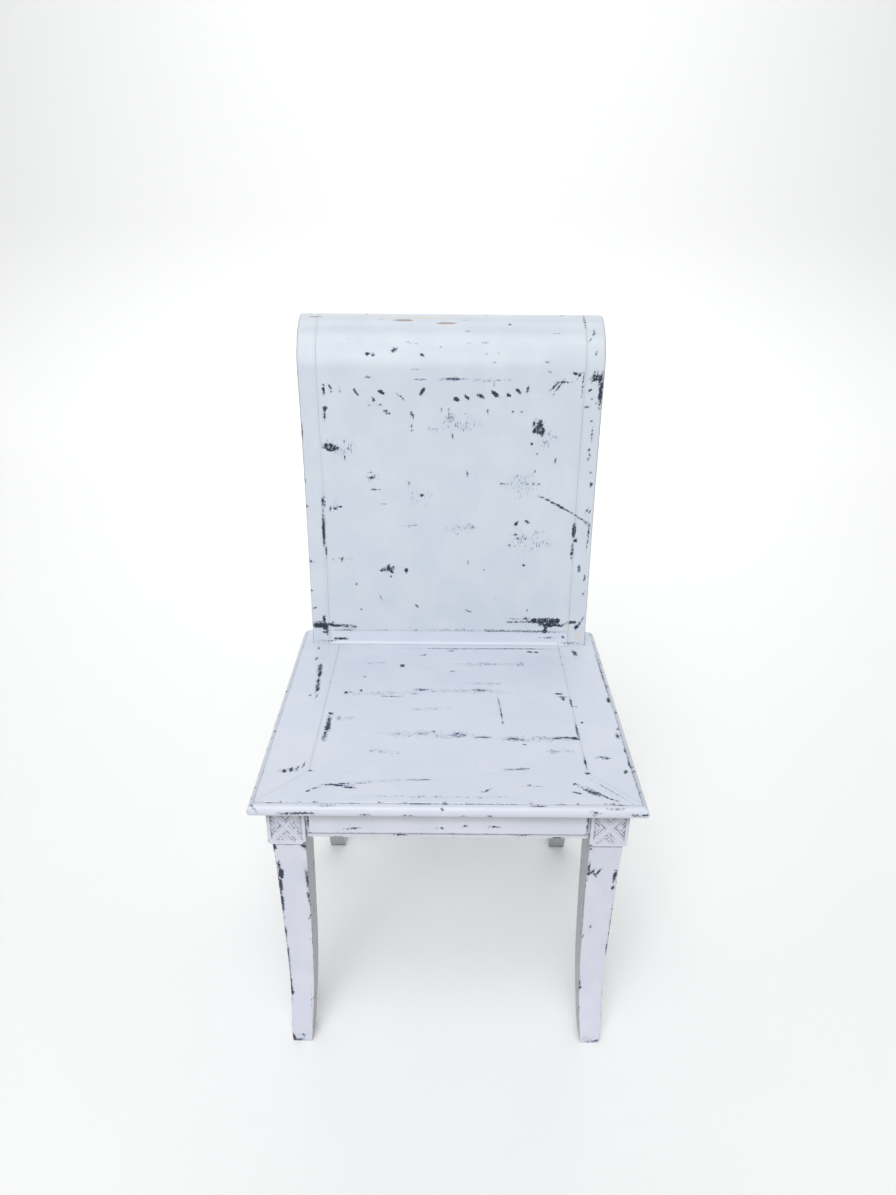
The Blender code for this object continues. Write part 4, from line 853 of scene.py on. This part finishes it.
def smooth_curve(points, share):
    """Cubic through (share, value) points, with the slope of each point's neighbours."""
    x, y = np.array(points, float).T
    last = len(x) - 1
    low, high = np.maximum(np.arange(last + 1) - 1, 0), np.minimum(np.arange(last + 1) + 1, last)
    slope = (y[high] - y[low]) / (x[high] - x[low])
    at = np.clip(np.searchsorted(x, share, side="right") - 1, 0, last - 1)
    span = x[at + 1] - x[at]
    t = (share - x[at]) / span
    rise = y[at] * (1 + 2 * t) * (1 - t) ** 2 + y[at + 1] * t * t * (3 - 2 * t)
    return rise + span * (slope[at] * t * (1 - t) ** 2 - slope[at + 1] * t * t * (1 - t))


def front_leg(word, side, chips, crumbs):
    wide, deep = 0.0415, 0.055

    def place(a, b, t):
        rise = np.minimum(t / HEAD_LOW, 1)
        width = 0.0275 + 0.016 * rise ** 0.6
        depth = 0.038 + 0.017 * rise ** 0.6
        x = LEG_OUTER - width + a / wide * width
        return world(side * x, OVERHANG + smooth_curve(LEG_BOW, rise) + b / deep * depth, t)

    strewn_outer = scatter(51 + side, (30, 120), (0, 380), 40, 2.4)
    strewn_inner = scatter(57 + side, (30, 120), (0, 380), 30, 2.2)
    strewn_back = scatter(61 + side, (180, 226), (0, 380), 26, 2.2)

    def wear(rest, sec, t):
        x, depth = rest[..., 0] * 1000, (rest[..., 1] + HALF_DEPTH) * 1000
        height = t * 1000
        front = (sec["nb"] < -0.05) & (t > -9)
        chip = np.maximum(marked(x, height, front, chips), crumbled(x, height, front, crumbs))
        chip = np.maximum(chip, marked(depth, height, (sec["na"] > 0.7) & (t > -9), strewn_outer))
        chip = np.maximum(chip, marked(depth, height, (sec["na"] < -0.7) & (t > -9), strewn_inner))
        chip = np.maximum(chip, marked(np.abs(x), height, (sec["nb"] > 0.7) & (t > -9), strewn_back))
        foot = smooth(26, 2, height) * 0.75
        scuffed = np.where(front, -4.0, -0.8) - height * 0.35
        # Painted shade: a dark band on the front just under the head, and darker inner and back faces.
        return {"chip": np.maximum(chip, scuffed), "rub": foot * 0.6, "cream": foot * 0.5,
                "carved": 1.1 * smooth(5.4, 3.6, HEAD_LOW * 1000 - height) * front,
                "soot": 0.62 * smooth(0.2, 0.9, -sec["na"]) + 0.3 * smooth(0.2, 0.9, sec["nb"]) + 0 * t}

    sec = section((0, 0, 0.0014, 0.0016, "arris"), (wide, 0, 0.0014, 0.0022, "arris"),
                  (wide, deep, 0.0014, 0.0035, "arris"), (0, deep, 0.0014, 0.0022, "arris"))
    leg = shell(sec, steps(0, HEAD_LOW + 0.005, 0.0017), place, wear, (None, "joint"), ease=0.0012)
    piece(f"front_{word}_leg", [leg, head(side)], leg_paint)


# Back

def back_face(height):
    """Depth of the post's front: 0.429 + 0.038 sin(pi/2 h) above the seat, and a parabola back to the foot."""
    tall = ROLL_START - SEAT_TOP
    slope = BACK_LEAN * math.pi / 2 / tall
    drop = np.clip(SEAT_TOP - height, 0, None)
    bow = (0.0555 + slope * SEAT_TOP) / SEAT_TOP ** 2
    rise = np.clip((height - SEAT_TOP) / tall, 0, 1)
    return BACK_LINE + BACK_LEAN * np.sin(math.pi / 2 * rise) - slope * drop + bow * drop ** 2


def post_depth(height):
    below = 0.028 + 0.014 * np.clip(height / SEAT_TOP, 0, 1)
    share = np.clip((height - SEAT_TOP) / 0.300, 0, 1)
    return below + (ROLL_THICK - 0.042) * share * share * (3 - 2 * share)


def half_back(height):
    return POST_OUTER + BACK_FLARE * np.clip((height - SEAT_TOP) / (ROLL_START - SEAT_TOP), 0, 1)


def back_place(share, s, thickness=None):
    """Depth and height of a point: share from front to rear, s up the front and then round the roll.

    Round the roll the angle is (s - 0.903) / 0.072, and past its end the tail closes in a half circle.
    """
    height = np.minimum(s, ROLL_START)
    thick = post_depth(height) if thickness is None else thickness
    flat = back_face(height) + share * thick
    turn = np.clip((s - ROLL_START) / ROLL_RADIUS, 0, ROLL_TURN)
    half = TAIL_THICK / 2
    closing = np.clip((s - ROLL_END) / half, 0, 0.97) * math.pi / 2
    thin = ROLL_THICK + (TAIL_THICK - ROLL_THICK) * turn / ROLL_TURN
    radius = ROLL_RADIUS - share * thin
    middle = ROLL_RADIUS - half
    radius = np.where(s > ROLL_END, middle + half * np.cos(closing) * (1 - 2 * share), radius)
    radius = radius - np.where(s > ROLL_END, 0.0004 * np.sin(closing), 0)
    radius = radius - 0.00025 * smooth(0, 0.3, turn)
    turn = turn + half * np.sin(closing) / middle * 0.94
    centre = BACK_LINE + BACK_LEAN + ROLL_RADIUS
    rolled = s > ROLL_START
    return (np.where(rolled, centre - np.cos(turn) * radius, flat),
            np.where(rolled, ROLL_START + np.sin(turn) * radius, s))


def back_rub(x, up, front):
    return np.maximum(1.5 * haze(x, up, front, BACK_RUBS), 0.42 * haze(x, up, front, BACK_HAZE))


BEHIND = scatter(71, (-228, 228), (20, 1110), 260, 2.6)
OVER = scatter(75, (-228, 228), (1012, 1150), 60, 2.4)
BESIDE = scatter(73, (400, 620), (0, 1110), 130, 2.6)


def back_wear(rest, sec, t):
    """Marks of the back by place across it and up its front, and strewn marks on its other faces."""
    x, up = rest[..., 0] * 1000, t * 1000
    depth = (rest[..., 1] + HALF_DEPTH) * 1000
    front = (sec["nb"] < -0.4) & (t > -9)
    chip = np.maximum(marked(x, up, front, BACK_CHIPS), crumbled(x, up, front, BACK_CRUMBS))
    chip = np.maximum(chip, marked(x, up, (sec["nb"] > 0.7) & (t > -9), BEHIND))
    chip = np.maximum(chip, marked(x, up, front, OVER))
    chip = np.maximum(chip, marked(depth, up, (np.abs(sec["na"]) > 0.7) & (t > -9), BESIDE))
    worn_foot = 0.3 - up * 0.35
    from_side = half_back(np.minimum(t, ROLL_START)) * 1000 - np.abs(x)
    # Below the seat a painted shade, light everywhere and heavier on the front and on one side; higher up, worn dark
    # paint along the outer front arris.
    shaded = smooth(0.2, 0.9, np.maximum(-sec["nb"], -sec["na"] * np.sign(x)))
    arris = smooth(-1.02, -0.88, sec["nb"]) * smooth(0.0030, 0.0014, sec["b"])
    edge = (0.45 + 0.45 * smooth(600, 800, up)) * smooth(2.0, 0.8, from_side) * arris
    return {"chip": np.maximum(chip, worn_foot), "rub": back_rub(x, up, front),
            "cream": haze(x, up, front, BACK_CREAM), "tan": haze(x, up, front, BACK_TAN),
            "soot": np.maximum(edge, smooth(445, 425, up) * (0.12 + 0.43 * shaded))}


def back_post(word, side):
    deep = 0.042

    def place(a, b, t):
        depth, height = back_place(b / deep, t)
        return world(side * (half_back(np.minimum(t, ROLL_START)) - POST_WIDTH + a), depth, height)

    sec = section((0, 0, 0.00015, 0.0016, "joint"), (POST_WIDTH, 0, 0.0015, 0.0024, "arris"),
                  (POST_WIDTH, deep, 0.0015, 0.0035, "arris"), (0, deep, 0.0006, 0.004, "arris"))
    made = shell(sec, steps(0, ROLL_END + 0.0078, 0.0019), place, back_wear, ("arris", "arris"), ease=0.0012)
    piece(f"back_{word}_post", [made], back_paint)


def between(name, low, high, thickness, ends, size, grain):
    """A board between the posts, flush with their fronts."""
    wide, deep = 0.2, thickness or 0.024

    def place(a, b, t):
        depth, height = back_place(b / deep, t, thickness)
        return world(a / wide * (half_back(np.minimum(t, ROLL_START)) - POST_WIDTH - SEAM), depth, height)

    sec = section((-wide, 0, 0.00015, size, "joint"), (wide, 0, 0.00015, 0.005, "joint"),
                  (wide, deep, 0.0004, 0.0065, "joint"), (-wide, deep, 0.0004, 0.005, "joint"))
    made = shell(sec, steps(low, high, size), place, back_wear, ends, grain)
    piece(name, [made], back_paint)


def bottom_rail():
    low, high, lip = SEAT_TOP + SEAM, RAIL_TOP - SEAM / 2, 0.0006
    half = POST_OUTER - POST_WIDTH - SEAM

    def place(a, b, t):
        return world(t, back_face(b) + a, b)

    def wear(rest, sec, t):
        x, up = rest[..., 0] * 1000, rest[..., 2] * 1000
        front = (sec["na"] < -0.2) & (t > -9)
        chip = np.maximum(marked(x, up, front, BACK_CHIPS), crumbled(x, up, front, BACK_CRUMBS))
        return {"chip": chip, "rub": back_rub(x, up, front),
                "cream": haze(x, up, front, BACK_CREAM)}

    sec = section((-0.005, low, 0.0002, 0.006, None), (PANEL_THICK, low, 0.0004, 0.005, None),
                  (PANEL_THICK, high, 0.0004, 0.006, "joint"), (0, high, 0.00015, 0.0012, "joint"),
                  (0, low + lip, 0.0042, 0.001, None), (-0.005, low + lip, 0.0002, 0.001, "joint"))
    made = shell(sec, steps(-half, half, 0.0018), place, wear, ("joint", "joint"))
    # The back's bottom rail takes the lighter seat paint, a painted highlight for light bounced up from the seat.
    piece("back_bottom_rail", [made], seat_paint)


# Camera, floor and light

def camera():
    """Looks down at the chair from in front, a little to one side of level."""
    data = bpy.data.cameras.new("camera")
    data.sensor_width = 36
    data.lens = 27.05
    seen = bpy.data.objects.new("camera", data)
    pitch = Matrix.Rotation(math.radians(90 - 24.5), 4, "X")
    roll = Matrix.Rotation(math.radians(0.42), 4, "Z")
    seen.matrix_world = Matrix.Translation((-0.002, -1.1913, 1.15)) @ pitch @ roll
    bpy.context.scene.collection.objects.link(seen)
    bpy.context.scene.camera = seen


def backdrop():
    """A floor that sweeps up into a wall: flat, then a quarter turn of radius r, then upright."""
    radius, reach, back = 1.0, 3.0, 2.6
    turn = np.linspace(0, math.pi / 2, 25)
    depth = np.concatenate([[-3.5, 0], back + radius * np.sin(turn), [back + radius]])
    height = np.concatenate([[0, 0], radius * (1 - np.cos(turn)), [4.0]])
    points = [(side * reach, y, z) for side in (-1, 1) for y, z in zip(depth, height)]
    count = len(depth)
    faces = [(i, i + count, i + count + 1, i + 1) for i in range(count - 1)]
    mesh = bpy.data.meshes.new("backdrop")
    mesh.from_pydata(points, [], faces)
    mesh.shade_smooth()
    tree = Tree("backdrop")
    tree.shader.inputs["Base Color"].default_value = srgb(252, 252, 251)
    tree.shader.inputs["Roughness"].default_value = 0.8
    mesh.materials.append(tree.material)
    made = bpy.data.objects.new("backdrop", mesh)
    bpy.context.scene.collection.objects.link(made)


def lamp(name, place, aim, size, power, colour=(1, 1, 1)):
    data = bpy.data.lights.new(name, "AREA")
    data.size = size
    data.energy = power
    data.color = colour
    made = bpy.data.objects.new(name, data)
    made.rotation_euler = (Vector(place) - Vector(aim)).to_track_quat("Z", "Y").to_euler()
    made.location = place
    bpy.context.scene.collection.objects.link(made)


def light():
    surround = bpy.data.worlds.new("world")
    surround.use_nodes = True
    bpy.context.scene.world = surround
    sky = surround.node_tree.nodes["Background"]
    sky.inputs["Color"].default_value = (0.95, 0.97, 1.0, 1.0)
    sky.inputs["Strength"].default_value = 0.35
    lamp("key", (-0.4, -2.6, 2.1), (0, 0, 0.4), 1.8, 35)
    lamp("wall", (0, 1.5, 3.2), (0, 3.8, 0.8), 2.6, 34)
    sun = bpy.data.lights.new("overhead", "SUN")
    sun.energy, sun.angle = 1.06, math.radians(40)
    high = bpy.data.objects.new("overhead", sun)
    high.rotation_euler = Vector((-0.12, -0.85, 1.6)).to_track_quat("Z", "Y").to_euler()
    bpy.context.scene.collection.objects.link(high)
    bpy.context.scene.view_settings.view_transform = "Standard"


front_rail()
boards()
aprons()
for word, side in (("left", -1), ("right", 1)):
    side_rail(word, side)
    back_post(word, side)
front_leg("left", -1, LEFT_LEG_CHIPS, LEFT_LEG_CRUMBS)
front_leg("right", 1, RIGHT_LEG_CHIPS, RIGHT_LEG_CRUMBS)
bottom_rail()
between("back_panel", RAIL_TOP + SEAM / 2, CREST_JOINT - SEAM / 6, PANEL_THICK, ("joint", None), 0.0015, "run")
between("back_crest", CREST_JOINT + SEAM / 6, ROLL_END + 0.0078, None, (None, "arris"), 0.0017, "girth")

wood, steel = raw_wood(), dull_steel()
for name, node in frame["nodes"].items():
    if "brace" in name:
        node.data.materials.clear()
        node.data.materials.append(steel if name.endswith("screw") else wood)

camera()
backdrop()
light()
